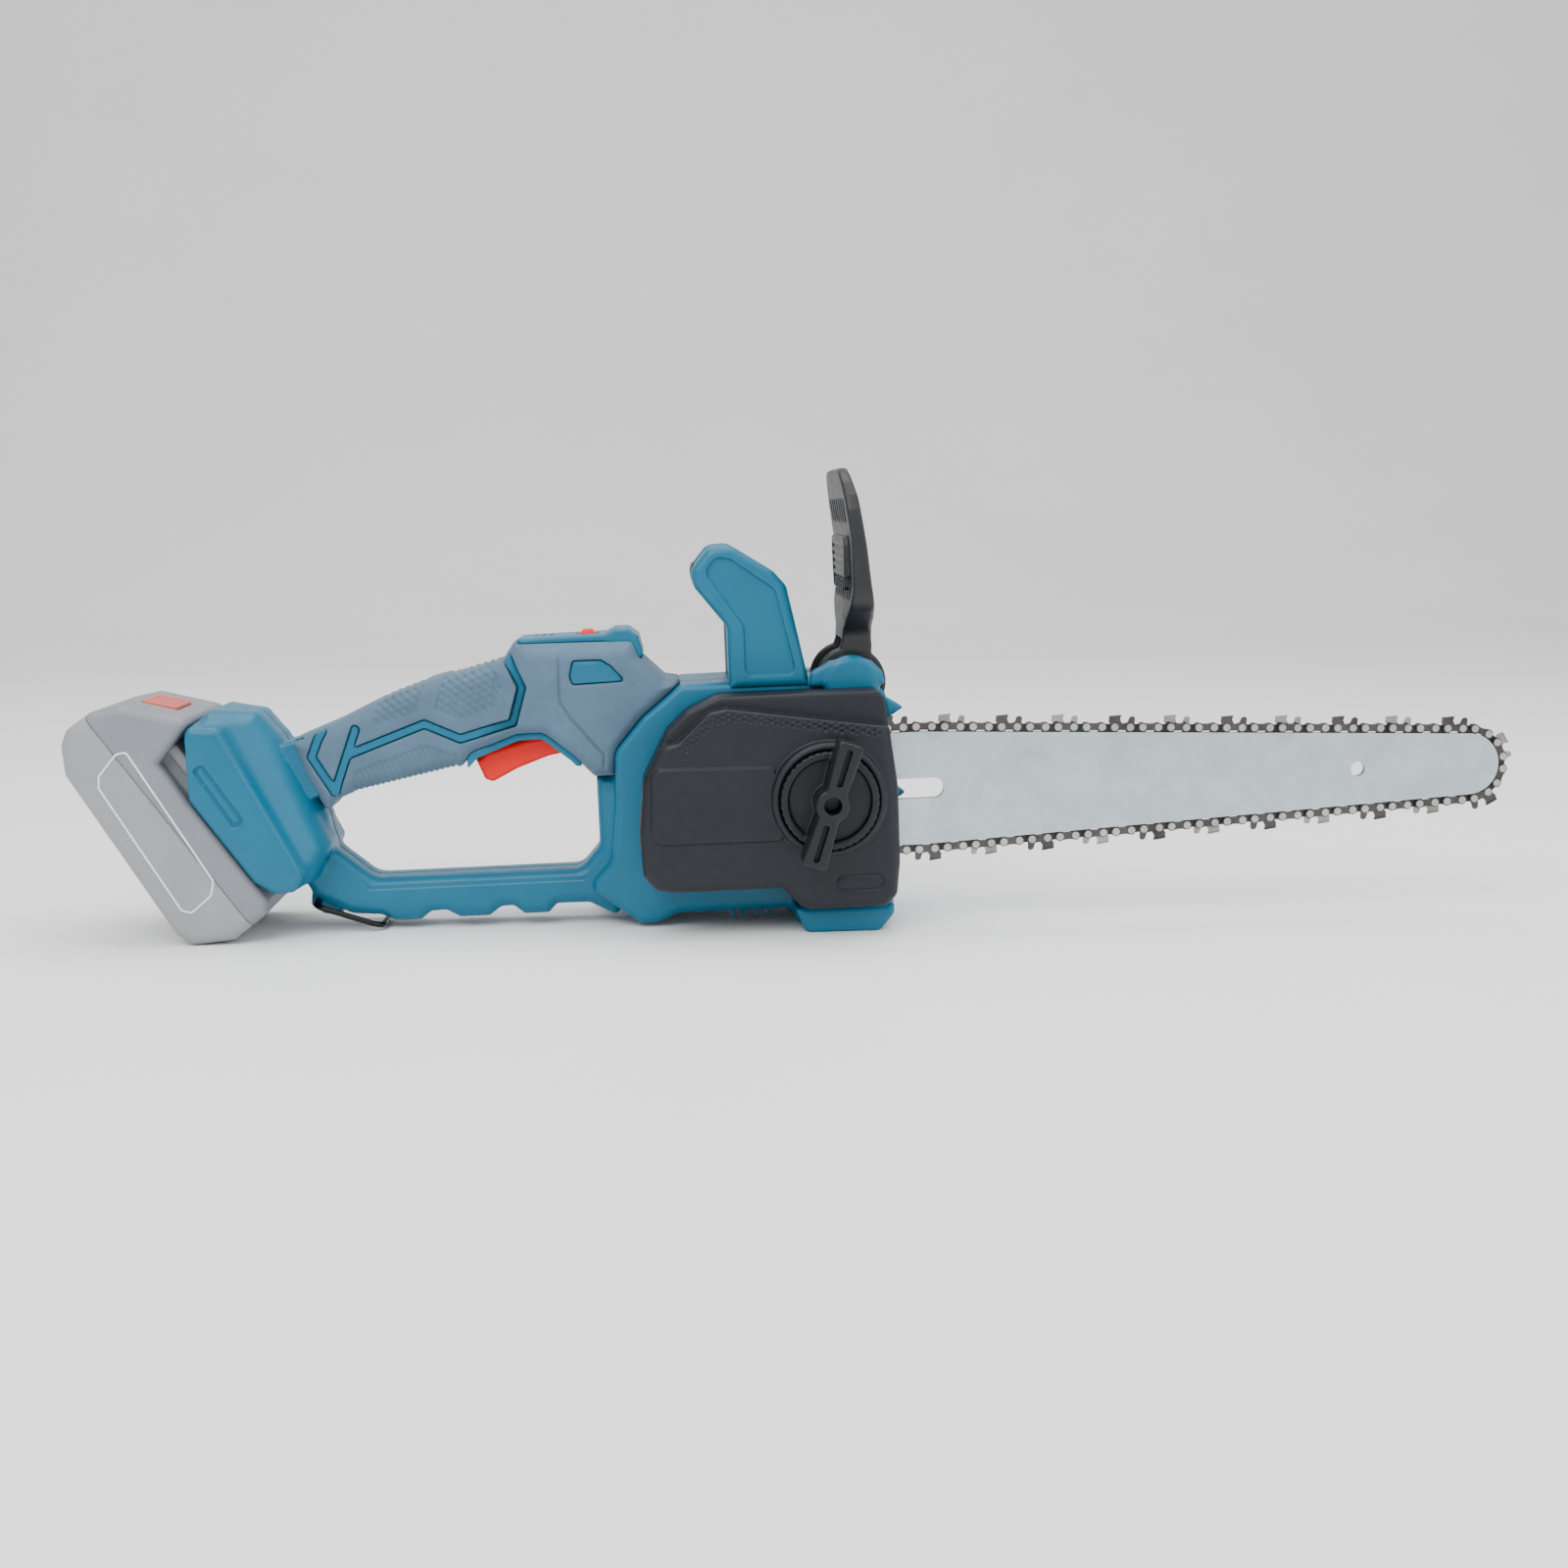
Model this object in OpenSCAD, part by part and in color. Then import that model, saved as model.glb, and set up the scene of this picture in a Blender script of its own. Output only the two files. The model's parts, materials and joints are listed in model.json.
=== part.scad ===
// Cordless chainsaw: wrap front handle, closed rear handle, rail battery, roller-nose bar.
// Every module is drawn in the bar's own axes: X along the bar towards its nose, Y across
// the saw with the sprocket cover on the -Y side, Z up, zero on the drive sprocket's axis
// and on the handle's middle plane. stand() then sets the saw down on its foot and battery.

/* [Stand] */
// Nose-up tilt of the bar while the saw stands on the ground
rest_tilt = 1.4; // [1.2:0.1:1.6]
// Height of the drive sprocket's axis above the ground
axis_height = 59.8; // [59.5:0.1:60.1]

/* [Bar and chain] */
// Middle plane of the bar and chain, across the saw
bar_y = -31; // [-31.5:0.1:-30.5]
// Drive links in the chain loop
link_count = 62; // [60:2:66]
// Chain travel for each drive link
link_pitch = 12.7; // [12.6:0.05:12.8]
// Teeth on each sprocket
sprocket_teeth = 8; // [8:1:8]
// Half width of the chain's rivet line where the bar is widest
bar_belly = 27.5; // [26:0.5:29]
// Thickness of each outer bar plate
bar_skin = 1.15; // [1:0.05:1.3]
// Width of the groove in the bar
groove = 1.3; // [1.2:0.05:1.4]
// Thickness of each tie strap
strap = 0.95; // [0.8:0.05:1]
// Thickness of the drive links
drive_link = 1.1; // [1:0.05:1.15]

/* [Body] */
// Near face of the motor housing, behind the cover
near_face = -22; // [-22.5:0.1:-21.5]
// Far face of the motor housing
far_face = 45; // [44:0.5:47]
// Outer face of the sprocket cover
cover_face = -52; // [-53:0.5:-51]
// Wall thickness of the moulded shells
wall = 2.6; // [2.2:0.1:3]
// Half width of the soft grip
grip_half = 18.5; // [17.5:0.5:19]
// Half width of the battery and its foot
battery_half = 37.5; // [37:0.5:38]
// Radius of the guard's hubs
guard_radius = 16.8; // [16:0.2:17]

/* [Battery] */
// Slope of the battery rails below the bar's axis
battery_slope = 56; // [55:0.5:57]
// Diameter of one cell
cell_d = 21.2; // [21:0.1:21.3]
// Length of one cell
cell_len = 70; // [69:0.5:70]

/* [Hidden] */

$fn = 64;
eps = 0.01;
arc_steps = 3;

blue = [0.02, 0.45, 0.62];
soft_grey = [0.52, 0.60, 0.66];
charcoal = [0.18, 0.21, 0.25];
black = [0.09, 0.09, 0.09];
orange = [1.0, 0.22, 0.08];
steel = [0.72, 0.74, 0.76];
dark_steel = [0.35, 0.36, 0.38];
copper = [0.72, 0.42, 0.2];
pale_grey = [0.68, 0.69, 0.70];

// Middle of the saw's length and width, measured from the sprocket axis
middle_x = 42.99;
middle_y = -10.75;

// ---- outlines: lists of [x, z, corner radius], counter-clockwise ----
body_outline = [[-34, -57.6, 5], [-26, -57.6, 5], [-17, -53.6, 4], [33, -53.6, 4],
  [39, -64, 3], [72, -64, 5], [80, -55, 6], [81, 0, 20], [79.5, 43, 4], [70, 50, 6],
  [-12, 49, 3], [-29, 35.5, 6], [-42.4, 20, 8], [-42.4, -2, 6], [-45.5, -29, 8],
  [-56, -40.5, 4]];
body_cavity = [[-33, -54, 4], [-18, -50, 3], [76, -50, 3], [76.5, 27, 3], [46, 27, 3],
  [42, 45, 3], [-10, 45.5, 3], [-26, 33, 5], [-39, 17, 6], [-40, -30, 8]];
foot_outline = [[34, -50, 1], [39.6, -63.3, 3], [70.8, -63.3, 5], [78.6, -54.6, 4], [78.6, -50, 1]];
frame_outline = [[-187, 4, 4], [-187, -24, 8], [-179, -40, 8], [-163, -49, 10],
  [-150, -50, 1], [-143.5, -53.2, 1], [-132.5, -53.2, 1], [-128, -49.6, 1],
  [-121, -49.4, 1], [-115, -52.9, 1], [-102, -52.9, 1], [-96.5, -49, 1],
  [-91, -48.8, 1], [-86.3, -52.8, 1], [-75.3, -52.8, 1], [-71.5, -48.8, 1],
  [-57, -49, 3], [-44, -56, 2], [-38, 8.7, 0.5], [-51.2, 8.7, 0.5], [-51.2, -23, 6],
  [-60, -33, 7], [-152, -33, 10], [-170.5, -17, 10], [-170.5, -5, 3], [-175, 8, 2]];
core_outline = [[-188, 0, 2], [-163, 9, 4], [-112, 20, 3], [-104, 26, 3], [-84, 32, 5],
  [-73, 32.3, 5], [-58, 22, 2], [-47, 12, 1], [-34, 8.5, 1], [-20, 30, 2], [-5, 46, 1],
  [-21, 49, 3], [-33, 60, 4], [-35, 67.4, 3], [-81, 67.4, 3], [-86, 60, 3],
  [-122, 52, 12], [-165, 35, 12], [-192, 28, 4]];
handle_cavity = [[-166, 13, 2], [-112, 23.5, 3], [-104, 30, 3], [-60, 32, 3],
  [-45, 18, 2], [-34, 14, 2], [-24, 32, 3], [-14, 44, 2], [-26, 48, 3], [-38, 58, 4],
  [-40, 63, 3], [-76, 63, 3], [-84, 56, 3], [-122, 48, 8], [-160, 33, 8]];
grip_outline = [[-169.5, -2.5, 2], [-166, 3.2, 2], [-159, 6, 5], [-110, 16, 3],
  [-104.5, 21.5, 4], [-85, 29, 8], [-73, 29.3, 8], [-60, 18.5, 2], [-51.5, 9.2, 1],
  [-42.5, 9.2, 1], [-39.7, 22.4, 6], [-28, 35.3, 6], [-12.5, 48.6, 0.5],
  [-12.5, 51.2, 1], [-18.8, 51.8, 3], [-29, 62, 4], [-31, 70.4, 3], [-84, 70.8, 3],
  [-89.5, 62.6, 3], [-121.9, 55.3, 20], [-139.6, 49.4, 20], [-164, 38.2, 16],
  [-184, 30.5, 2], [-178.8, 14.5, 5]];
grip_pad_outline = [[-169.5, -2.5, 2], [-166, 3.2, 2], [-159, 6, 5], [-110, 16, 3],
  [-104.5, 21.5, 4], [-85, 29, 8], [-73, 29.3, 8], [-60, 18.5, 2], [-51.5, 9.2, 1],
  [-42.5, 9.2, 1], [-39.7, 22.4, 6], [-28, 35.3, 6], [-20, 42, 2], [-20.5, 50, 3],
  [-29, 62, 4], [-31, 70.2, 3], [-84, 70.5, 3], [-89.5, 62.6, 3], [-121.9, 55.3, 20],
  [-139.6, 49.4, 20], [-164, 38.2, 16], [-184, 30.5, 2], [-178.8, 14.5, 5]];
grip_front_outline = [[-104.5, 24, 3], [-85, 31, 8], [-73, 31, 8], [-60, 20, 2],
  [-51.5, 11, 1], [-44, 11, 1], [-41, 22.4, 6], [-30, 35.3, 6], [-14.5, 48.4, 0.5],
  [-19.5, 50, 3], [-31, 61, 4], [-34, 66, 4], [-80, 66, 4], [-86, 56, 5], [-92, 36, 8]];
cap_outline = [[-82, 68.6, 0.5], [-45, 68.6, 6], [-36.5, 65.5, 3], [-30, 60, 1],
  [-27.5, 62.5, 2], [-29.5, 71, 3], [-34, 74.4, 2], [-40, 74.4, 2], [-44, 72.4, 4],
  [-83, 71.6, 1]];
loop_handle_outline = [[9.6, 46, 1], [45.6, 46, 1], [36.5, 91, 5], [31, 97.5, 4],
  [12.5, 109.5, 8], [3, 109, 7], [-5.8, 98.5, 6], [-4, 91.5, 5], [9.6, 74, 6]];
crossbar_outline = [[24, 86, 5], [34, 93, 4], [12.5, 107.5, 8], [3, 107.5, 7],
  [-4, 98.5, 6], [-2, 91.5, 5], [6, 84, 6]];
cover_outline = [[-26, -37.8, 5], [-17, -39, 3], [29, -39, 4], [36.5, -47.5, 5],
  [41, -49.3, 4], [74, -49.3, 5], [79, -44, 5], [80.6, -30, 8], [80.6, 4, 20],
  [76, 42.5, 4], [73, 45.6, 3], [4, 45.3, 8], [-10, 39, 8], [-19, 30.5, 8],
  [-30, 10, 8], [-32.3, -12, 10], [-31.3, -31, 6]];
guard_side_outline = [[60, 60, 2], [73.5, 60, 2], [73.8, 76, 4], [71.8, 92, 20],
  [70.3, 108, 20], [67.5, 128, 20], [64.2, 141.6, 1.5], [59.5, 141, 2],
  [61, 131, 8], [63.6, 111, 20], [64, 90, 20], [61.5, 76, 4]];
trigger_outline = [[-104.5, 17.6, 1], [-100.8, 8.6, 2], [-97.2, 7.4, 2], [-86, 13, 12],
  [-72, 18, 8], [-58, 20.5, 2], [-55.8, 25, 2], [-60, 29.6, 2.5], [-68, 28.4, 2],
  [-82, 26.6, 6], [-100, 21.6, 2]];
// battery outlines run along its rails (x) and away from the rails (z)
battery_body_outline = [[-20, -34.5, 5], [62, -40.4, 6], [70, -38, 4], [79, -22, 5],
  [78, -4, 3], [74, -0.2, 2], [-0.8, -0.2, 0.3], [-6.6, 20.2, 1], [-9.5, 20.8, 2],
  [-30, 3, 5], [-35, -9, 5], [-35, -22, 4], [-31, -28, 4]];
battery_foot_wide = [[0.2, 0.4, 0.5], [64, 0.4, 4], [73, 4, 5], [78, 12, 5], [74, 20, 4],
  [60, 22, 5], [2, 30, 4], [-5.6, 20, 1]];
battery_foot_middle = [[-3, 14, 1], [76, 8, 4], [78.5, 14, 4], [75, 24, 4], [20, 36, 5],
  [2, 36, 5], [-7, 27, 3]];
battery_foot_neck = [[-4, 16, 1], [76, 12, 3], [79, 18, 4], [72, 33, 4], [20, 43.4, 6],
  [5.5, 42.2, 4], [-7, 28, 3]];
foot_cavity_outline = [[3, 12.5, 1], [66, 12.5, 3], [72, 16, 3], [60, 25, 3],
  [22, 33, 3], [6, 33, 3], [0, 24, 2]];

// ---- path of the chain's rivet line, upper half ----
wrap_r = sprocket_teeth * link_pitch / (2 * PI);
belly_r = 200;
belly_x = 88;
belly_centre = [belly_x, bar_belly - belly_r];
half_loop = link_count * link_pitch / 2;
rivet_gap = 5.7;
strap_gap = link_pitch - rivet_gap;
rail_drop = 2.3;
tail_x = 24;
stud_x = 50;
stud_z = 0;
guard_x = 63.8;
guard_z = 47.1;
ring_x = -178.2;
ring_z = -43.5;
ring_wire = 1.3;
ring_half = 15;
ring_bend = 5;
battery_x = -235.3;
battery_z = 24.7;

function unit(v) = v / norm(v);
function tangent_angle(a, ra, b, rb) =
  atan2(b.y - a.y, b.x - a.x) + acos((ra - rb) / norm(b - a));
function tangent_length(a, ra, b, rb) = sqrt(pow(norm(b - a), 2) - pow(ra - rb, 2));
tail_angle = tangent_angle([0, 0], wrap_r, belly_centre, belly_r);
tail_run = tangent_length([0, 0], wrap_r, belly_centre, belly_r);
function nose_angle(nx) = tangent_angle(belly_centre, belly_r, [nx, 0], wrap_r);
function nose_run(nx) = tangent_length(belly_centre, belly_r, [nx, 0], wrap_r);
function deg_arc(r, degrees) = r * degrees * PI / 180;
function path_half(nx) = deg_arc(wrap_r, 180 - tail_angle) + tail_run
  + deg_arc(belly_r, tail_angle - nose_angle(nx)) + nose_run(nx)
  + deg_arc(wrap_r, nose_angle(nx));
function solve_nose(nx, turns) = turns == 0 ? nx
  : solve_nose(nx + half_loop - path_half(nx), turns - 1);

nose_x = solve_nose(340, 8);
end_angle = nose_angle(nose_x);
s1 = deg_arc(wrap_r, 180 - tail_angle);
s2 = s1 + tail_run;
s3 = s2 + deg_arc(belly_r, tail_angle - end_angle);
s4 = s3 + nose_run(nose_x);
function polar(c, r, a) = [c.x + r * cos(a), c.y + r * sin(a)];
function blend_points(a, b, t) = a + (b - a) * t;
function upper_path(s) =
  s < s1 ? polar([0, 0], wrap_r, 180 - s / wrap_r * 180 / PI)
  : s < s2 ? blend_points(polar([0, 0], wrap_r, tail_angle),
      polar(belly_centre, belly_r, tail_angle), (s - s1) / (s2 - s1))
  : s < s3 ? polar(belly_centre, belly_r, tail_angle - (s - s2) / belly_r * 180 / PI)
  : s < s4 ? blend_points(polar(belly_centre, belly_r, end_angle),
      polar([nose_x, 0], wrap_r, end_angle), (s - s3) / (s4 - s3))
  : polar([nose_x, 0], wrap_r, end_angle - (s - s4) / wrap_r * 180 / PI);
function chain_path(s) = let (w = (s + 4 * half_loop) % (2 * half_loop))
  w <= half_loop ? upper_path(w)
  : let (p = upper_path(2 * half_loop - w)) [p.x, -p.y];
function link_rivet(k, side) = chain_path(k * link_pitch + side * rivet_gap / 2);

// ---- outline helpers ----
// arc points that round corner q between p and s
function corner(p, q, s, r) =
  let (a = unit(p - q), b = unit(s - q), half = acos(max(-1, min(1, a * b))) / 2,
       reach = min(r / tan(half), 0.48 * norm(p - q), 0.48 * norm(s - q)),
       fit = reach * tan(half), c = q + unit(a + b) * fit / sin(half),
       t0 = q + a * reach, t1 = q + b * reach,
       a0 = atan2(t0.y - c.y, t0.x - c.x), a1 = atan2(t1.y - c.y, t1.x - c.x),
       sweep = (a1 - a0 + 540) % 360 - 180)
  [for (i = [0:arc_steps]) polar(c, fit, a0 + sweep * i / arc_steps)];
function flat(q) = [q[0], q[1]];
function rounded(pts) = let (n = len(pts)) [for (i = [0:n - 1])
  each corner(flat(pts[(i + n - 1) % n]), flat(pts[i]), flat(pts[(i + 1) % n]), pts[i][2])];
// the same outline moved inwards by d (outwards where d is negative)
function inset_point(p, q, s, r, d) =
  let (e1 = unit(q - p), e2 = unit(s - q), n1 = [-e1.y, e1.x], n2 = [-e2.y, e2.x],
       m = q + (n1 + n2) * d / (1 + n1 * n2), turn = e1.x * e2.y - e1.y * e2.x)
  [m.x, m.y, max(0.3, turn > 0 ? r - d : r + d)];
function inset(pts, d) = let (n = len(pts)) [for (i = [0:n - 1])
  inset_point(flat(pts[(i + n - 1) % n]), flat(pts[i]), flat(pts[(i + 1) % n]), pts[i][2], d)];

// ---- building blocks ----
module stand() translate([-middle_x, -middle_y, axis_height]) rotate([0, -rest_tilt, 0])
  children();
// everything below the ground
module ground() rotate([0, rest_tilt, 0]) translate([middle_x, middle_y, -axis_height - 50])
  cube([900, 400, 100], center = true);
module at_battery() translate([battery_x, 0, battery_z]) rotate([0, battery_slope, 0])
  children();
// flat plate from an outline of plain points, between two planes across the saw
module plate(points, y0, y1) translate([0, y1, 0]) rotate([90, 0, 0])
  linear_extrude(y1 - y0) polygon(points);
// rounded plate whose outer edges step inwards on one or both sides
module pillow(outline, y0, y1, bevel0, bevel1) {
  plate(rounded(outline), y0 + bevel0, y1 - bevel1);
  plate(rounded(inset(outline, 0.3 * (bevel0 + bevel1) / 2)),
    y0 + 0.35 * bevel0, y1 - 0.35 * bevel1);
  plate(rounded(inset(outline, 0.85 * (bevel0 + bevel1) / 2)), y0, y1);
}
// round bar across the saw
module pin(x, z, r, y0, y1) translate([x, y1, z]) rotate([90, 0, 0]) cylinder(r = r, h = y1 - y0);
module ring(x, z, r_out, r_in, y0, y1) difference() {
  pin(x, z, r_out, y0, y1);
  pin(x, z, r_in, y0 - 1, y1 + 1);
}
module block(x0, x1, y0, y1, z0, z1) translate([x0, y0, z0])
  cube([x1 - x0, y1 - y0, z1 - z0]);
// coil spring as a stack of thin rings along z
module spring(r, wire, z0, z1, turns) for (i = [0:turns - 1])
  translate([0, 0, z0 + wire / 2 + i * (z1 - z0 - wire) / (turns - 1)])
    rotate_extrude($fn = 24) translate([r, 0]) circle(d = wire, $fn = 14);

// ---- housing ----
screw_spots = [[-33, -45, 41], [-28, 22.5, 41], [14, 39.5, 41], [71, -13, 41],
  [-130, 36, 15], [-74, 57, 17], [-100, -41.5, 9.5], [-190, 15, 20]];
screw_near = -11;
module body_form() {
  pillow(body_outline, near_face, far_face, 3, 9);
  pillow(foot_outline, -40, 40, 3, 3);
  // dome that covers the guard's near hub
  pin(guard_x, guard_z, dome_r, -28, -arm_out);
  // bar pad boss behind the bar
  pin(stud_x, stud_z, 15, -28, near_face + eps);
  // lug that carries the tension screw
  block(61, 79, -28.5, near_face + eps, -21, -13);
  // bumper spikes at the front edge
  for (z = [35.6, -2.5])
    plate([[78, z - 5], [86, z], [78, z + 5]], -26, -14);
}
module frame_form() pillow(frame_outline, -13, 13, 3, 3);
module core_form() plate(rounded(core_outline), -15.4, 15.4);
module foot_form() at_battery() {
  pillow(battery_foot_wide, -battery_half - 0.5, battery_half + 0.5, 1.5, 1.5);
  pillow(battery_foot_middle, -30, 30, 3, 3);
  pillow(battery_foot_neck, -21, 21, 4, 4);
}
module blue_form() {
  body_form();
  frame_form();
  core_form();
  foot_form();
}
module grip_form() {
  plate(rounded(grip_outline), -14.5, 14.5);
  pillow(grip_pad_outline, -grip_half, grip_half, 4, 4);
  pillow(grip_front_outline, -21.5, 21.5, 2, 2);
}
module cap_form() pillow(cap_outline, -15, 15, 1.5, 1.5);
// room for the trigger and for its swing
module trigger_slot() plate([[-107.6, 4], [-54, 4], [-54, 31.4], [-106, 31.4]], -7.6, 7.6);
module button_hole() block(-57.2, -47.2, -5.4, 5.4, 60, 80);
// middle of the oil pump's gear, which the worm on the motor shaft turns
pump_z = -10.3;
pump_y = -15.8;
module pump_gear_room() translate([0, pump_y, pump_z]) rotate([0, 90, 0])
  cylinder(r = 5, h = 5, center = true);
arm_in = 14;
arm_out = 19.2;
arm_gap = 0.3;
dome_r = 12.5;
module guard_room() {
  for (side = [-1, 1])
    pin(guard_x, guard_z, guard_radius + 0.7, side < 0 ? -arm_out - arm_gap : arm_in - arm_gap,
      side < 0 ? -arm_in + arm_gap : arm_out + arm_gap);
  // open sector above the hubs, where the neck swings
  block(46.3, 84, arm_in - arm_gap, arm_out + arm_gap, guard_z, guard_z + 24);
  difference() {
    block(46.3, 84, near_face - 0.5, -arm_in + arm_gap, guard_z, guard_z + 24);
    pin(guard_x, guard_z, dome_r - 0.2, near_face - 2, -arm_out - arm_gap);
  }
}
module rail_socket() at_battery() {
  block(-14, 62, -27.6, 27.6, -3, 5);
  block(-14, 62, -30.6, 30.6, 4.6, 10.4);
}
module screw_holes() for (s = screw_spots) {
  pin(s[0], s[1], 2.1, screw_near, s[2] + 1);
  pin(s[0], s[1], 3.9, s[2] - 3, 60);
}
module screw_bosses() for (s = screw_spots)
  pin(s[0], s[1], 5, s[2] > 30 ? near_face + wall - 0.1 : -13, min(s[2] + 0.5, 41.6));
module housing_cavities() {
  difference() {
    union() {
      plate(rounded(body_cavity), near_face + wall, far_face - wall - 1);
      plate(rounded(handle_cavity), -12.6, 12.6);
      at_battery() plate(rounded(foot_cavity_outline), -27, 27);
    }
    intersection() {
      screw_bosses();
      blue_form();
    }
    // seat of the rear bearing
    ring(0, 0, 14, 11.02, 33, far_face - wall);
    // bosses of the guard pins
    for (side = [-1, 1])
      pin(guard_x, guard_z, 6, side < 0 ? -arm_in + 0.1 : 10, side < 0 ? -10 : arm_in - 0.1);
    // bar pad backing
    pin(stud_x, stud_z, 13, near_face, -16);
  }
  // shaft passes the near wall
  pin(0, 0, 12, -30, near_face + wall + 0.1);
  pump_gear_room();
  pin(stud_x, stud_z, 3.05, -40, -19);
  pin(stud_x, stud_z, 6.6, -19, -10);
  for (side = [-1, 1])
    pin(guard_x, guard_z, 3.02, side < 0 ? -24.1 : 10, side < 0 ? -10 : 24.1);
  // tension screw and the slot for its block
  translate([60, -25.4, -17]) rotate([0, 90, 0]) cylinder(r = 1.95, h = 30);
  translate([75.4, -25.4, -17]) rotate([0, 90, 0]) cylinder(r = 2.6, h = 30);
  block(28, 60.5, -30.5, -20.8, -20.6, -13.4);
  // filler neck
  pin(56, -32, 12.4, 30, 60);
  trigger_slot();
  pin(-60, 25, 1.52, -12, 12);
  button_hole();
  guard_room();
  rail_socket();
  screw_holes();
  // cooling slots low in the motor housing, both sides
  for (i = [0:3])
    block(6 + i * 5, 8 + i * 5, -18, -8, -60, -49);
  for (i = [0:6])
    block(-21 + i * 7, -17.6 + i * 7, 38, 60, -16, 16);
  // ring wire bore in the tail lug
  pin(ring_x, ring_z, ring_wire + 0.1, -8, 8);
  cap_form();
  ground();
}
// lug that holds the storage ring
module ring_lug() plate(rounded([[-181.5, -45, 2], [-176, -49, 1], [-168, -50.5, 1],
  [-168, -40, 1], [-180, -34, 2]]), -6, 6);
module housing_whole() difference() {
  union() {
    blue_form();
    ring_lug();
  }
  housing_cavities();
}
module near_side() block(-400, 400, -200, 0, -200, 200);
module far_side() block(-400, 400, 0, 200, -200, 200);
module housing_right() color(blue) stand() intersection() {
  housing_whole();
  near_side();
}
module housing_left() color(blue) stand() intersection() {
  housing_whole();
  far_side();
}
module grip_whole() difference() {
  grip_form();
  core_form();
  pillow(body_outline, near_face, far_face, 3, 9);
  trigger_slot();
  pin(-60, 25, 1.52, -12, 12);
  button_hole();
  cap_form();
  screw_holes();
}
module grip_right() color(soft_grey) stand() intersection() {
  grip_whole();
  near_side();
}
module grip_left() color(soft_grey) stand() intersection() {
  grip_whole();
  far_side();
}
module top_cap() color(blue) stand() difference() {
  cap_form();
  block(-56.6, -47.8, -4.8, 4.8, 60, 80);
}
module housing_screws() color(dark_steel) stand() for (s = screw_spots) {
  pin(s[0], s[1], 2, screw_near, s[2] - 2.9);
  difference() {
    pin(s[0], s[1], 3.5, s[2] - 2.9, s[2]);
    pin(s[0], s[1], 1.4, s[2] - 1.6, s[2] + 1);
  }
}

// ---- front handle ----
handle_split = 4;
module front_handle_form() difference() {
  union() {
    pillow(loop_handle_outline, -24, -6, 4, 4);
    plate(rounded(crossbar_outline), -8, 32);
    pillow(loop_handle_outline, 28, 43, 4, 4);
  }
  body_form();
  // shallow inset panel on the near leg
  plate(rounded([[17, 52, 3], [39.5, 52, 3], [31.4, 89.5, 4], [12.2, 103.5, 4],
    [5.9, 104.6, 4], [0.8, 98, 4], [17, 74, 5]]), -26, -23.2);
}
module front_handle_right() color(blue) stand() intersection() {
  front_handle_form();
  block(-100, 200, -100, handle_split, 0, 200);
}
module front_handle_left() color(blue) stand() intersection() {
  front_handle_form();
  block(-100, 200, handle_split, 100, 0, 200);
}
// rubber sleeve over the back and underside of the crossbar
module front_handle_grip() color(black) stand() difference() {
  plate(rounded(inset(crossbar_outline, -2)), -5.8, 27.8);
  plate(rounded(crossbar_outline), -10, 40);
  plate([[-12, 103], [40, 94], [40, 130], [-12, 130]], -10, 40);
}

// ---- cover, stud and knob ----
collar_r = 25;
knob_r = 21.3;
knob_face = -60;
wing_face = -75;
wing_angle = 71;
module sprocket_cover() color(charcoal) stand() difference() {
  union() {
    pillow(cover_outline, cover_face, near_face - 0.3, 4, 0.01);
    pin(stud_x, stud_z, collar_r, -57, cover_face + 1);
    // raised badge panel, left plain
    plate(rounded([[-24, -17, 3], [30, -17.5, 3], [30, 15, 3], [-24, 14, 3]]),
      cover_face - 1.2, cover_face + 1);
  }
  difference() {
    plate(rounded(inset(cover_outline, wall)), cover_face + wall, near_face + 1);
    // pressure boss that clamps the bar
    pin(stud_x, stud_z, 13, -60, bar_y - 1.9);
  }
  // dish that takes the knob
  pin(stud_x, stud_z, knob_r + 0.5, -60, -54);
  pin(stud_x, stud_z, 3.4, -60, -20);
  // front mouth for the bar and chain
  block(70, 90, bar_y - 6, -20, -37, 37);
  // relief round the dome over the guard's hub
  pin(guard_x, guard_z, dome_r + 0.5, -28.6, -20);
}
module wing_shape() {
  rotate([0, -wing_angle, 0]) {
    plate(rounded([[-27.5, -5.6, 1.5], [-9, -4.6, 8], [0, -4.2, 3], [9, -4.6, 8],
      [27.5, -5.6, 1.5], [27.5, 5.6, 1.5], [9, 4.6, 8], [0, 4.2, 3], [-9, 4.6, 8],
      [-27.5, 5.6, 1.5]]), wing_face, knob_face + 2);
  }
}
module cover_knob() color(charcoal) stand() translate([stud_x, 0, stud_z]) difference() {
  union() {
    difference() {
      pin(0, 0, knob_r, knob_face, -54.4);
      // dished face
      pin(0, 0, 17.7, knob_face - 1, knob_face + 3.2);
    }
    difference() {
      wing_shape();
      // the wing's ends pass over the collar
      ring(0, 0, 40, knob_r - 0.5, knob_face + 0.2, -50);
    }
  }
  pin(0, 0, 3.75, wing_face - 1, -50);
  pin(0, 0, 5.8, -62, -50);
  // grooves along the wing
  rotate([0, -wing_angle, 0]) for (side = [-1, 1])
    block(side > 0 ? 8.5 : -25, side > 0 ? 25 : -8.5, wing_face - 1, wing_face + 4, -1.1, 1.1);
}
module knob_nut() color(steel) stand() translate([stud_x, 0, stud_z]) difference() {
  pin(0, 0, 5.75, -61.8, -54.5);
  pin(0, 0, 3.05, -70, -50);
}
module bar_stud() color(steel) stand() translate([stud_x, 0, stud_z]) {
  pin(0, 0, 3, -64, -18.9);
  translate([0, -15, 0]) rotate([90, 0, 0]) cylinder(r = 5.7, h = 3.95, $fn = 6);
}
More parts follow.
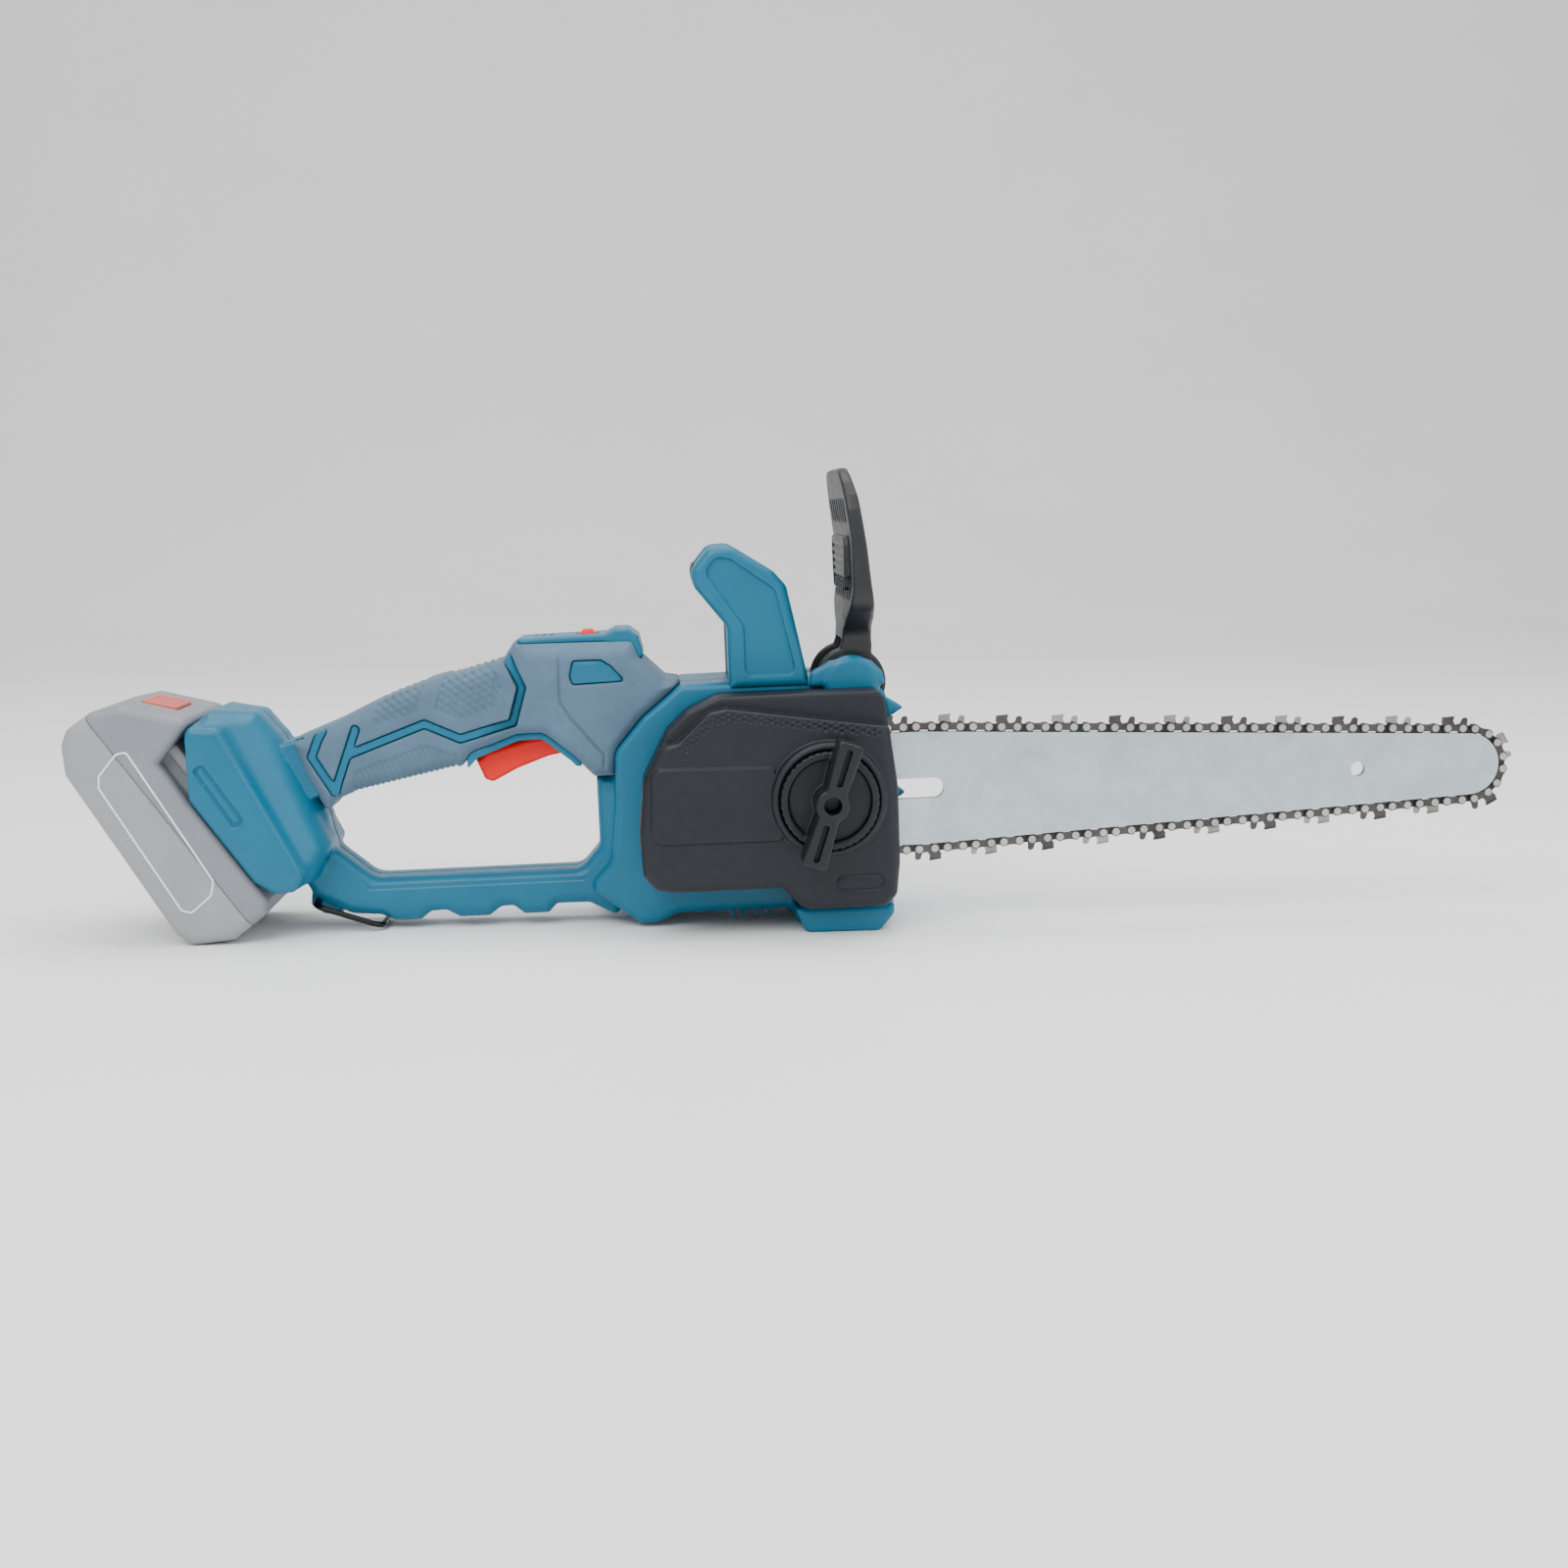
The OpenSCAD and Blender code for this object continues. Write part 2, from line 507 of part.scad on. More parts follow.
// steel pad with the key that guides the bar's slot
module bar_pad() color(steel) stand() difference() {
  union() {
    plate(rounded([[34, -12, 3], [66, -12, 3], [66, 12, 3], [34, 12, 3]]), -29.2, -28.02);
    plate(rounded([[43, -4.3, 2], [57, -4.3, 2], [57, 4.3, 2], [43, 4.3, 2]]), -32.4, -29.1);
  }
  pin(stud_x, stud_z, 3.1, -40, -20);
}

// ---- guide bar ----
// points along the bar's edge, drop below the rivet line
function bar_edge(drop, from_x, nose) = let (rb = belly_r - drop,
    a0 = acos((from_x - belly_x) / rb))
  concat([for (i = [0:8]) polar(belly_centre, rb, a0 + (end_angle - a0) * i / 8)],
    nose ? [for (i = [0:14]) polar([nose_x, 0], wrap_r - drop, end_angle * (1 - i / 14))] : []);
function mirror_points(pts) = [for (i = [len(pts) - 1:-1:0]) [pts[i].x, -pts[i].y]];
bar_hole_x = 290.6;
module bar_outline(drop, nose) {
  upper = bar_edge(drop, tail_x + 9, nose);
  tip = nose ? [] : [[nose_x, wrap_r - drop]];
  tail = [[tail_x, -14 + drop - rail_drop], [tail_x, 14 - drop + rail_drop]];
  polygon(concat(tail, upper, tip, mirror_points(tip), mirror_points(upper)));
}
module bar_layer(drop, y0, y1, nose) translate([0, y1, 0]) rotate([90, 0, 0])
  linear_extrude(y1 - y0) difference() {
    bar_outline(drop, nose);
    // slot for the stud and the pad's key
    translate([42.5, -4.5]) square([55.7, 9]);
    translate([98.2, 0]) circle(r = 4.5);
    translate([bar_hole_x, 0]) circle(r = 3.3);
    // tension pin hole and rivet holes
    translate([36, -14.5]) circle(r = 2.1);
    for (x = rivet_spots)
      translate([x, 0]) circle(r = rivet_r);
    if (!nose) translate([nose_x, 0]) circle(r = 14.4);
  }
rivet_spots = [nose_x, nose_x - 22, 130, 210];
rivet_r = 2.4;
groove_near = bar_y - groove / 2;
groove_far = bar_y + groove / 2;
module bar_plate_right() color(steel) stand()
  bar_layer(rail_drop, groove_near - bar_skin, groove_near, true);
module bar_core() color(dark_steel) stand()
  bar_layer(rail_drop + 5.6, groove_near, groove_far, false);
module bar_plate_left() color(steel) stand()
  bar_layer(rail_drop, groove_far, groove_far + bar_skin, true);
module bar_rivets() color(pale_grey) stand() for (x = rivet_spots)
  pin(x, 0, rivet_r - 0.01, groove_near - bar_skin - 0.05, groove_far + bar_skin + 0.05);
module nose_bearing() color(steel) stand()
  ring(nose_x, 0, 5.2, rivet_r + 0.02, groove_near + 0.1, groove_far - 0.1);
// star wheel whose gullets take the drive links' tangs
module star(tip_r, root_r, gullet, bore, y0, y1) difference() {
  pin(0, 0, tip_r, y0, y1);
  pin(0, 0, bore, y0 - 1, y1 + 1);
  for (i = [0:sprocket_teeth - 1])
    rotate([0, i * 360 / sprocket_teeth, 0]) {
      block(root_r + gullet / 2, 40, y0 - 1, y1 + 1, -gullet / 2, gullet / 2);
      pin(root_r + gullet / 2, 0, gullet / 2, y0 - 1, y1 + 1);
    }
}
module nose_sprocket() color(dark_steel) stand() translate([nose_x, 0, 0])
  star(12.4, 8, 7.4, 5.25, groove_near + 0.1, groove_far - 0.1);

// ---- tensioner ----
module tension_screw() color(steel) stand() translate([0, -25.4, -17]) rotate([0, 90, 0]) {
  translate([0, 0, 32]) cylinder(r = 1.9, h = 44);
  difference() {
    translate([0, 0, 75.9]) cylinder(r = 2.5, h = 2.6);
    translate([-0.45, -4, 77.4]) cube([0.9, 8, 3]);
  }
}
module tension_block() color(dark_steel) stand() difference() {
  union() {
    block(40, 48, -28.6, -21.4, -20.2, -13.8);
    block(33.6, 44, -28.6, -26.4, -18.2, -13.8);
    pin(36, -14.5, 2.05, bar_y + 0.7, -28);
  }
  translate([30, -25.4, -17]) rotate([0, 90, 0]) cylinder(r = 1.95, h = 30);
}

// ---- chain ----
// x along the link from the middle between its two rivets, z away from the bar
module at_link(p, q) {
  d = q - p;
  m = (p + q) / 2;
  translate([m.x, 0, m.y]) rotate([0, -atan2(d.y, d.x), 0]) children();
}
tang = [[-4.6, -1.6], [-1.9, -6.4], [1.2, -6.9], [3.1, -4.6], [4.6, -1.6],
  [4.9, 0.8], [3.6, 2], [1.2, 1.3], [-1.2, 1.3], [-3.6, 2], [-4.9, 0.8]];
module chain_drive_links() color(dark_steel) stand() for (k = [0:link_count - 1])
  at_link(link_rivet(k, -1), link_rivet(k, 1))
    plate(tang, bar_y - drive_link / 2, bar_y + drive_link / 2);
function strap_outline(top) = concat(
  [for (a = [90:30:270]) [-3.5 + 2.1 * cos(a), 0.05 + 2.1 * sin(a)]],
  [[-1.2, -1.5], [1.2, -1.5]],
  [for (a = [-90:30:90]) [3.5 + 2.1 * cos(a), 0.05 + 2.1 * sin(a)]],
  [[1.2, top], [-1.2, top]]);
strap_in = drive_link / 2 + 0.02;
strap_out = strap_in + strap;
module strap_plate(side, points)
  plate(points, bar_y + (side < 0 ? -strap_out : strap_in), bar_y + (side < 0 ? -strap_in : strap_out));
cutter_links = [for (j = [0:2:link_count - 2]) j];
function cutter_side(j) = (j / 2) % 2 == 0 ? -1 : 1;
function has_cutter(j) = j % 2 == 0;
module chain_tie_straps() color(steel) stand() for (j = [0:link_count - 1])
  at_link(link_rivet(j, 1), link_rivet(j + 1, -1))
    for (side = [-1, 1])
      if (!(has_cutter(j) && cutter_side(j) == side))
        strap_plate(side, strap_outline(1.5));
// side plate with depth gauge ahead and tooth behind, and the top plate's cutting corner
module cutter(side) {
  strap_plate(side, concat([for (a = [150:30:270]) [-3.5 + 2.2 * cos(a), 2.2 * sin(a)]],
    [[-1.2, -1.4], [1.2, -1.4]],
    [for (a = [-90:30:30]) [3.5 + 2.2 * cos(a), 2.2 * sin(a)]],
    [[5.6, 4.3], [4.6, 4.9], [3.2, 4.4], [2.2, 1.7], [-0.2, 1.6], [-1.1, 3.4], [-0.7, 5.4],
     [-6.0, 4.9], [-6.2, 2.4]]));
  y_in = bar_y + side * 0.1;
  y_out = bar_y + side * (strap_out + 0.45);
  plate([[-6.0, 4.3], [-0.9, 4.8], [-0.7, 5.4], [-6.0, 4.9]], min(y_in, y_out), max(y_in, y_out));
}
module cutter_row(side) for (j = cutter_links)
  if (cutter_side(j) == side)
    at_link(link_rivet(j, 1), link_rivet(j + 1, -1)) cutter(side);
module chain_cutters_right() color(steel) stand() cutter_row(-1);
module chain_cutters_left() color(steel) stand() cutter_row(1);
module chain_rivets() color(pale_grey) stand() for (k = [0:link_count - 1])
  for (end = [-1, 1]) {
    p = link_rivet(k, end);
    for (side = [-1, 1])
      pin(p.x, p.y, 1.6, bar_y + (side < 0 ? -strap_out - 0.45 : strap_out),
        bar_y + (side < 0 ? -strap_out : strap_out + 0.45));
  }

// ---- drive ----
shaft_r = 4;
module drive_sprocket() color(dark_steel) stand() {
  star(12.4, 8.4, 7.4, shaft_r + 0.02, bar_y - 2.6, bar_y + 2.6);
  ring(0, 0, 7, shaft_r + 0.02, bar_y + 2.6, bar_y + 5);
}
module sprocket_washer() color(steel) stand()
  ring(0, 0, 9.5, shaft_r + 0.1, bar_y - 3.6, bar_y - 2.7);
module sprocket_clip() color(dark_steel) stand() difference() {
  ring(0, 0, 7, 3.3, bar_y - 4.6, bar_y - 3.8);
  block(0, 20, bar_y - 6, bar_y - 2, -2.6, 2.6);
}
module motor_shaft() color(steel) stand() difference() {
  pin(0, 0, shaft_r, bar_y - 6.5, 40.4);
  ring(0, 0, 6, 3.28, bar_y - 4.65, bar_y - 3.75);
}
module motor_rotor() color(dark_steel) stand() ring(0, 0, 12.4, shaft_r + 0.02, 1, 25);
module motor_stator() color(pale_grey) stand() difference() {
  ring(0, 0, 26, 13, 2, 24);
  // winding slots
  for (i = [0:11])
    rotate([0, i * 30 + 15, 0]) block(15, 23, 1, 25, -1.6, 1.6);
}
module motor_windings() color(copper) stand() for (i = [0:11])
  rotate([0, i * 30, 0]) {
    block(15, 21.6, -2.6, 1.9, -2.4, 2.4);
    block(15, 21.6, 24.1, 27.4, -2.4, 2.4);
  }
module motor_end_plate() color(pale_grey) stand() difference() {
  union() {
    pin(0, 0, 29.5, -12.4, -10);
    pin(0, 0, 14, -12.4, -4.6);
  }
  pin(0, 0, 11.02, -11, -3);
  pin(0, 0, 8, -13, -10);
  for (i = [0:5])
    rotate([0, i * 60 + 30, 0]) pin(21.5, 0, 4, -13, -9);
  pump_gear_room();
}
module shaft_bearings() color(steel) stand() {
  ring(0, 0, 11, shaft_r + 0.02, -11, -5);
  ring(0, 0, 11, shaft_r + 0.02, 33.5, 39.5);
}
module cooling_fan() color(black) stand() {
  ring(0, 0, 8, shaft_r + 0.02, 27.8, 32.6);
  ring(0, 0, 25, 7.9, 27.8, 28.8);
  for (i = [0:10])
    rotate([0, i * 360 / 11, 0]) block(7.8, 24.6, 28.7, 32.4, -0.6, 0.6);
}
module pump_worm() color(dark_steel) stand() {
  ring(0, 0, 4.8, shaft_r + 0.02, -18.4, -13);
  for (i = [0:2])
    ring(0, 0, 5.8, 4.7, -17.6 + i * 1.5, -16.9 + i * 1.5);
}
module pump_gear() color(pale_grey) stand() translate([0, pump_y, pump_z]) rotate([0, 90, 0]) {
  cylinder(r = 3.4, h = 4, center = true);
  for (i = [0:15])
    rotate([0, 0, i * 22.5]) translate([3.2, -0.3, -2]) cube([1, 0.6, 4]);
  cylinder(r = 1.5, h = 14);
}
module oil_pump() color(black) stand() difference() {
  block(7, 30, -19.2, -12.6, -15.6, -6.6);
  translate([0, pump_y, pump_z]) rotate([0, 90, 0]) cylinder(r = 1.55, h = 15);
}

// ---- oil ----
module oil_tank() color(pale_grey) stand() difference() {
  union() {
    plate(rounded([[34, -48, 4], [75, -48, 4], [75, -20, 4], [34, -20, 4]]), -18, 38);
    pin(56, -32, 12, 37, 44);
  }
  plate(rounded([[36, -46, 3], [73, -46, 3], [73, -22, 3], [36, -22, 3]]), -16, 36);
  pin(56, -32, 9, 30, 50);
}
module oil_cap() color(black) stand() difference() {
  union() {
    pin(56, -32, 8.6, 38.5, 44.3);
    pin(56, -32, 15, 45.3, 50);
    pin(56, -32, 8.6, 44, 46);
    block(44, 68, 49.9, 53.5, -34, -30);
  }
  for (i = [0:15])
    rotate_about(56, -32, i * 22.5) pin(56 + 15.6, -32, 1.4, 44, 51);
}
module rotate_about(x, z, a) translate([x, 0, z]) rotate([0, a, 0]) translate([-x, 0, -z])
  children();

// ---- front hand guard and brake ----
guard_half = 48;
module guard_plan() polygon([for (p = rounded([[-arm_out, 56, 1], [arm_out, 56, 1],
  [arm_out + 1, 70, 6], [guard_half, 82, 10], [guard_half, 142.5, 16],
  [-guard_half, 142.5, 16], [-guard_half, 82, 10], [-arm_out - 1, 70, 6]])) p]);
module hand_guard() color(black) stand() difference() {
  union() {
    intersection() {
      plate(rounded(guard_side_outline), -guard_half, guard_half);
      rotate([90, 0, 90]) linear_extrude(120) guard_plan();
    }
    // hubs on both sides of the housing, and the arms above them
    for (side = [-1, 1]) {
      pin(guard_x, guard_z, guard_radius, side < 0 ? -arm_out : arm_in,
        side < 0 ? -arm_in : arm_out);
      plate([[60, 50], [73, 50], [73.5, 64], [60, 64]], side < 0 ? -arm_out : arm_in,
        side < 0 ? -arm_in : arm_out);
    }
  }
  for (side = [-1, 1])
    pin(guard_x, guard_z, 3.05, side < 0 ? -30 : 10, side < 0 ? -10 : 30);
  // room between the two arms
  block(40, 90, -arm_in, arm_in, 20, 66);
  // vertical slots in the shield
  for (y = [-33:11:33])
    for (z = [84, 118])
      block(50, 80, y - 3, y + 3, z, z + 10);
}
module guard_pins() color(steel) stand() for (side = [-1, 1])
  pin(guard_x, guard_z, 3, side < 0 ? -24 : 10.1, side < 0 ? -10.1 : 24);
module brake_switch() color(black) stand() {
  block(22, 40, 2, 9, 32.5, 42.5);
  block(26, 28.5, 4, 7, 42.4, 43.8);
}

// ---- trigger group ----
module trigger() color(orange) stand() difference() {
  pillow(trigger_outline, -7, 7, 1.6, 1.6);
  pin(-60, 25, 1.55, -10, 10);
}
module trigger_pin() color(steel) stand() pin(-60, 25, 1.5, -11.8, 11.8);
module trigger_switch() color(black) stand() {
  block(-100, -66, -9, 9, 38, 50.5);
  block(-92, -86, -3, 3, 35.4, 38);
}
module trigger_spring() color(steel) stand() translate([-97, 0, 0]) spring(2.2, 0.7, 24.4, 37.6, 7);
module lock_button() color(orange) stand() {
  block(-56.2, -48.2, -4.4, 4.4, 62.6, 72.9);
  plate(rounded([[-55.6, 72.6, 0.3], [-48.9, 72.6, 0.3], [-50, 74.1, 1], [-54, 74.1, 1]]), -3.8, 3.8);
}
module lock_spring() color(steel) stand() translate([-52.2, 0, 0]) spring(2.4, 0.6, 51, 62.4, 6);

// ---- electronics in the battery foot ----
module controller() color(pale_grey) stand() at_battery() difference() {
  block(10, 58, -20, 20, 14, 22);
  for (i = [0:6])
    block(14 + i * 6, 17 + i * 6, -21, 21, 19.5, 23);
}
blade_rows = [-17, -6, 6, 17];
module terminal_block() color(black) stand() at_battery() {
  block(53.4, 62, -26, 26, 0.6, 10.4);
  for (y = blade_rows)
    block(38, 53.5, y - 0.4, y + 0.4, 2.2, 7.8);
}

// ---- storage ring ----
module ring_bar(x0, y0, x1, y1) {
  d = [x1 - x0, y1 - y0];
  translate([x0, y0, 0]) rotate([0, 0, atan2(d.y, d.x)]) rotate([0, 90, 0])
    cylinder(r = ring_wire, h = norm(d), $fn = 24);
}
module ring_corner(x, y, from) translate([x, y, 0]) rotate([0, 0, from])
  rotate_extrude(angle = 90, $fn = 32) translate([ring_bend, 0]) circle(r = ring_wire, $fn = 24);
module storage_ring() color(black) stand() translate([ring_x, 0, ring_z]) rotate([0, 20, 0]) {
  straight = ring_half - ring_bend;
  ring_bar(0, -straight, 0, straight);
  ring_bar(ring_bend, -ring_half, 26, -ring_half);
  ring_bar(ring_bend, ring_half, 26, ring_half);
  ring_bar(31, -straight, 31, straight);
  ring_corner(ring_bend, -straight, 180);
  ring_corner(ring_bend, straight, 90);
  ring_corner(26, -straight, 270);
  ring_corner(26, straight, 0);
}

// ---- battery ----
lid_split = -12;
module battery_form() {
  pillow(battery_body_outline, -battery_half, battery_half, 2.5, 2.5);
  // rails that slide into the foot
  block(-3, 52, -27, 27, -1, 6);
  block(-3, 52, -30, 30, 5, 9.8);
}
module at_button() translate([-20, 0, 8.5]) rotate([0, -42, 0]) children();
module battery_room() {
  plate(rounded(inset([[-20, -34.5, 3], [62, -40.4, 4], [70, -38, 3], [77, -22, 3],
    [76, -2, 2], [-20, -0.2, 2], [-35, -10, 3], [-35, -22, 3], [-31, -28, 3]], 1.9)),
    -35.2, 35.2);
  block(0, 50, -24, 24, -4, 4);
  // slots for the tool's blades
  for (y = blade_rows)
    block(30, 60, y - 1.2, y + 1.2, 1.6, 8.4);
  // pocket of the release button
  at_button() cube([16, 27, 12], center = true);
}
module battery_half_shell(lower) difference() {
  battery_form();
  battery_room();
  if (lower) block(-60, 120, -60, 60, lid_split, 60);
  else block(-60, 120, -60, 60, -60, lid_split);
}
module battery_lower_shell() color(pale_grey) stand() difference() {
  at_battery() battery_half_shell(true);
  ground();
}
module battery_upper_shell() color(pale_grey) stand() at_battery() battery_half_shell(false);
module battery_cells() color(blue) stand() at_battery() for (i = [0:4])
  pin(-21.5 + i * (cell_d + 0.05), -17.5, cell_d / 2 - 0.05, -cell_len / 2, cell_len / 2);
module battery_contacts() color(copper) stand() at_battery() for (y = blade_rows)
  for (side = [-1, 1])
    block(36, 50, y + (side < 0 ? -1.1 : 0.6), y + (side < 0 ? -0.6 : 1.1), 2, 8);
module battery_button() color(orange) stand() at_battery()
  at_button() difference() {
    translate([0, 0, 1.5]) cube([15.2, 26.2, 4], center = true);
    for (i = [-2:2])
      translate([i * 2.6, 0, 3.6]) cube([1, 22, 1], center = true);
  }
module button_spring() color(steel) stand() at_battery()
  at_button() spring(3, 0.8, -5.8, -0.6, 4);

housing_right();
housing_left();
grip_right();
grip_left();
top_cap();
front_handle_right();
front_handle_left();
front_handle_grip();
housing_screws();
sprocket_cover();
cover_knob();
knob_nut();
bar_stud();
bar_pad();
bar_plate_right();
bar_core();
bar_plate_left();
bar_rivets();
nose_bearing();
nose_sprocket();
tension_screw();
tension_block();
chain_drive_links();
chain_tie_straps();
chain_cutters_right();
chain_cutters_left();
chain_rivets();
drive_sprocket();
sprocket_washer();
sprocket_clip();
motor_shaft();
motor_rotor();
motor_stator();
motor_windings();
motor_end_plate();
shaft_bearings();
cooling_fan();
pump_worm();
pump_gear();
oil_pump();
oil_tank();
oil_cap();
hand_guard();
guard_pins();
brake_switch();
trigger();
trigger_pin();
trigger_switch();
trigger_spring();
lock_button();
lock_spring();
controller();
terminal_block();
storage_ring();
battery_lower_shell();
battery_upper_shell();
battery_cells();
battery_contacts();
battery_button();
button_spring();
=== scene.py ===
import json
import math
import bpy
import numpy as np
import openvdb as vdb
from mathutils import Matrix, Vector


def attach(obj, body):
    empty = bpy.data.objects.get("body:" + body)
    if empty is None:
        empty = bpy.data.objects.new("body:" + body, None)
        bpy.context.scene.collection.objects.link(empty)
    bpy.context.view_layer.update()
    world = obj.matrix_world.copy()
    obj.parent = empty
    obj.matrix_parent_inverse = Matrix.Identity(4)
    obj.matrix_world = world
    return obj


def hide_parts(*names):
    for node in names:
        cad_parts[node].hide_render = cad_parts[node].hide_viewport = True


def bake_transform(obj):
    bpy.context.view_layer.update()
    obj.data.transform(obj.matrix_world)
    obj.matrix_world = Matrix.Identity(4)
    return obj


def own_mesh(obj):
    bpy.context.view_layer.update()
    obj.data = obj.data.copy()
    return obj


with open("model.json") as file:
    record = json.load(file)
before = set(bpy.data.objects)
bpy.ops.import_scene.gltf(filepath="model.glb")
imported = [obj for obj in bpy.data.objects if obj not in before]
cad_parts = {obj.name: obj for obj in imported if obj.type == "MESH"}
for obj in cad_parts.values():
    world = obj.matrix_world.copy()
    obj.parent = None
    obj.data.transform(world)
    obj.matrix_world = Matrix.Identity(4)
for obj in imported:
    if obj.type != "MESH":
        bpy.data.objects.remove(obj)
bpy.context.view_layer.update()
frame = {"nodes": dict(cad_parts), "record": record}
NODES = frame["nodes"]

# ------------ the saw's own axes
# Shapes are made in millimetres in the bar's axes (X along the bar, Y across, Z up, zero on
# the drive sprocket's axis) and set down in the model's frame by place().
TILT = math.radians(1.4)
MIDDLE_X, MIDDLE_Y, AXIS_HEIGHT = 42.99, -10.75, 59.8
COS_T, SIN_T = math.cos(TILT), math.sin(TILT)


def place(points):
    """Bar axes in mm to the model's frame in metres."""
    p = np.asarray(points, dtype=np.float64)
    x = p[:, 0] * COS_T - p[:, 2] * SIN_T - MIDDLE_X
    z = p[:, 0] * SIN_T + p[:, 2] * COS_T + AXIS_HEIGHT
    return np.stack([x, p[:, 1] - MIDDLE_Y, z], axis=1) / 1000.0


# ------------ outlines (x, z, corner radius)
BODY = [(-34, -57.6, 5), (-26, -57.6, 5), (-17, -53.6, 4), (33, -53.6, 4), (39, -64, 3),
        (72, -64, 5), (80, -55, 6), (81, 0, 20), (79.5, 43, 4), (70, 50, 6), (-12, 49, 3),
        (-29, 35.5, 6), (-42.4, 20, 8), (-42.4, -2, 6), (-45.5, -29, 8), (-56, -40.5, 4)]
BODY_ROOM = [(-33, -54, 4), (-18, -50, 3), (76, -50, 3), (76.5, 27, 3), (46, 27, 3),
             (42, 45, 3), (-10, 45.5, 3), (-26, 33, 5), (-39, 17, 6), (-40, -30, 8)]
SOLE = [(34, -50, 1), (39.6, -63.3, 3), (70.8, -63.3, 5), (78.6, -54.6, 4), (78.6, -50, 1)]
LOWER_HANDLE = [(-187, 4, 4), (-187, -24, 8), (-179, -40, 8), (-163, -49, 10), (-150, -50, 1),
                (-143.5, -53.2, 2), (-132.5, -53.2, 2), (-128, -49.6, 2), (-121, -49.4, 2),
                (-115, -52.9, 2), (-102, -52.9, 2), (-96.5, -49, 2), (-91, -48.8, 2),
                (-86.3, -52.8, 2), (-75.3, -52.8, 2), (-71.5, -48.8, 2), (-57, -49, 3),
                (-44, -56, 2), (-38, 8.7, 0.5), (-51.2, 8.7, 0.5), (-51.2, -23, 6),
                (-60, -33, 7), (-152, -33, 10), (-170.5, -17, 10), (-170.5, -5, 3), (-175, 8, 2)]
CORE = [(-188, 0, 2), (-163, 9, 4), (-112, 20, 3), (-104, 26, 3), (-84, 32, 5), (-73, 32.3, 5),
        (-58, 22, 2), (-47, 12, 1), (-34, 8.5, 1), (-20, 30, 2), (-5, 46, 1), (-21, 49, 3),
        (-33, 60, 4), (-35, 67.4, 3), (-81, 67.4, 3), (-86, 60, 3), (-122, 52, 12),
        (-165, 35, 12), (-192, 28, 4)]
HANDLE_ROOM = [(-166, 13, 2), (-112, 23.5, 3), (-104, 30, 3), (-60, 32, 3), (-45, 18, 2),
               (-34, 14, 2), (-24, 32, 3), (-14, 44, 2), (-26, 48, 3), (-38, 58, 4),
               (-40, 63, 3), (-76, 63, 3), (-84, 56, 3), (-122, 48, 8), (-160, 33, 8)]
GRIP = [(-169.5, -2.5, 2), (-166, 3.2, 2), (-159, 6, 5), (-110, 16, 3), (-104.5, 21.5, 4),
        (-85, 29, 8), (-73, 29.3, 8), (-60, 18.5, 2), (-51.5, 9.2, 1), (-42.5, 9.2, 1),
        (-39.7, 22.4, 6), (-28, 35.3, 6), (-12.5, 48.6, 0.5), (-12.5, 51.2, 1),
        (-18.8, 51.8, 3), (-29, 62, 4), (-31, 70.4, 3), (-84, 70.8, 3), (-89.5, 62.6, 3),
        (-121.9, 55.3, 20), (-139.6, 49.4, 20), (-164, 38.2, 16), (-184, 30.5, 2),
        (-178.8, 14.5, 5)]
GRIP_FRONT = [(-104.5, 24, 3), (-85, 31, 8), (-73, 31, 8), (-60, 20, 2), (-51.5, 11, 1),
              (-44, 11, 1), (-41, 22.4, 6), (-30, 35.3, 6), (-14.5, 48.4, 0.5),
              (-19.5, 50, 3), (-31, 61, 4), (-34, 66, 4), (-80, 66, 4), (-86, 56, 5),
              (-92, 36, 8)]
CAP = [(-82, 68.6, 0.5), (-45, 68.6, 6), (-36.5, 65.5, 3), (-30, 60, 1), (-27.5, 62.5, 2),
       (-29.5, 71, 3), (-34, 74.4, 2), (-40, 74.4, 2), (-44, 72.4, 4), (-83, 71.6, 1)]
LOOP = [(9.6, 46, 1), (45.6, 46, 1), (36.5, 91, 5), (31, 97.5, 4), (12.5, 109.5, 8),
        (3, 109, 7), (-5.8, 98.5, 6), (-4, 91.5, 5), (9.6, 74, 6)]
LOOP_PANEL = [(17, 52, 3), (39.5, 52, 3), (31.4, 89.5, 4), (12.2, 103.5, 4), (5.9, 104.6, 4),
              (0.8, 98, 4), (17, 74, 5)]
CROSSBAR = [(24, 86, 5), (34, 93, 4), (12.5, 107.5, 8), (3, 107.5, 7), (-4, 98.5, 6),
            (-2, 91.5, 5), (6, 84, 6)]
COVER = [(-26, -37.8, 5), (-17, -39, 3), (29, -39, 4), (36.5, -47.5, 5), (41, -49.3, 4),
         (74, -49.3, 5), (79, -44, 5), (80.6, -30, 8), (80.6, 4, 20), (76, 42.5, 4),
         (73, 45.6, 3), (4, 45.3, 8), (-10, 39, 8), (-19, 30.5, 8), (-30, 10, 8),
         (-32.3, -12, 10), (-31.3, -31, 6)]
COVER_STEP = [(-30, 24, 1), (-14.4, 26.3, 6), (-0.4, 39.2, 6), (7.3, 40.6, 4), (82, 29.6, 1),
              (95, 29, 1), (95, 60, 1), (-30, 60, 1)]
COVER_DOTS = [(-11, 22, 2), (1.5, 34.2, 4), (8, 35.4, 2), (77.5, 25.4, 1), (77.5, 29.2, 1),
              (7.3, 39.2, 3), (0.5, 37.8, 4), (-13.5, 25, 2)]
BADGE = [(-27.1, -12.8, 3), (-23.9, -17.2, 3), (30.4, -17.6, 3), (27.4, 14.8, 3),
         (-22.5, 15.7, 3), (-25.9, 12.8, 3)]
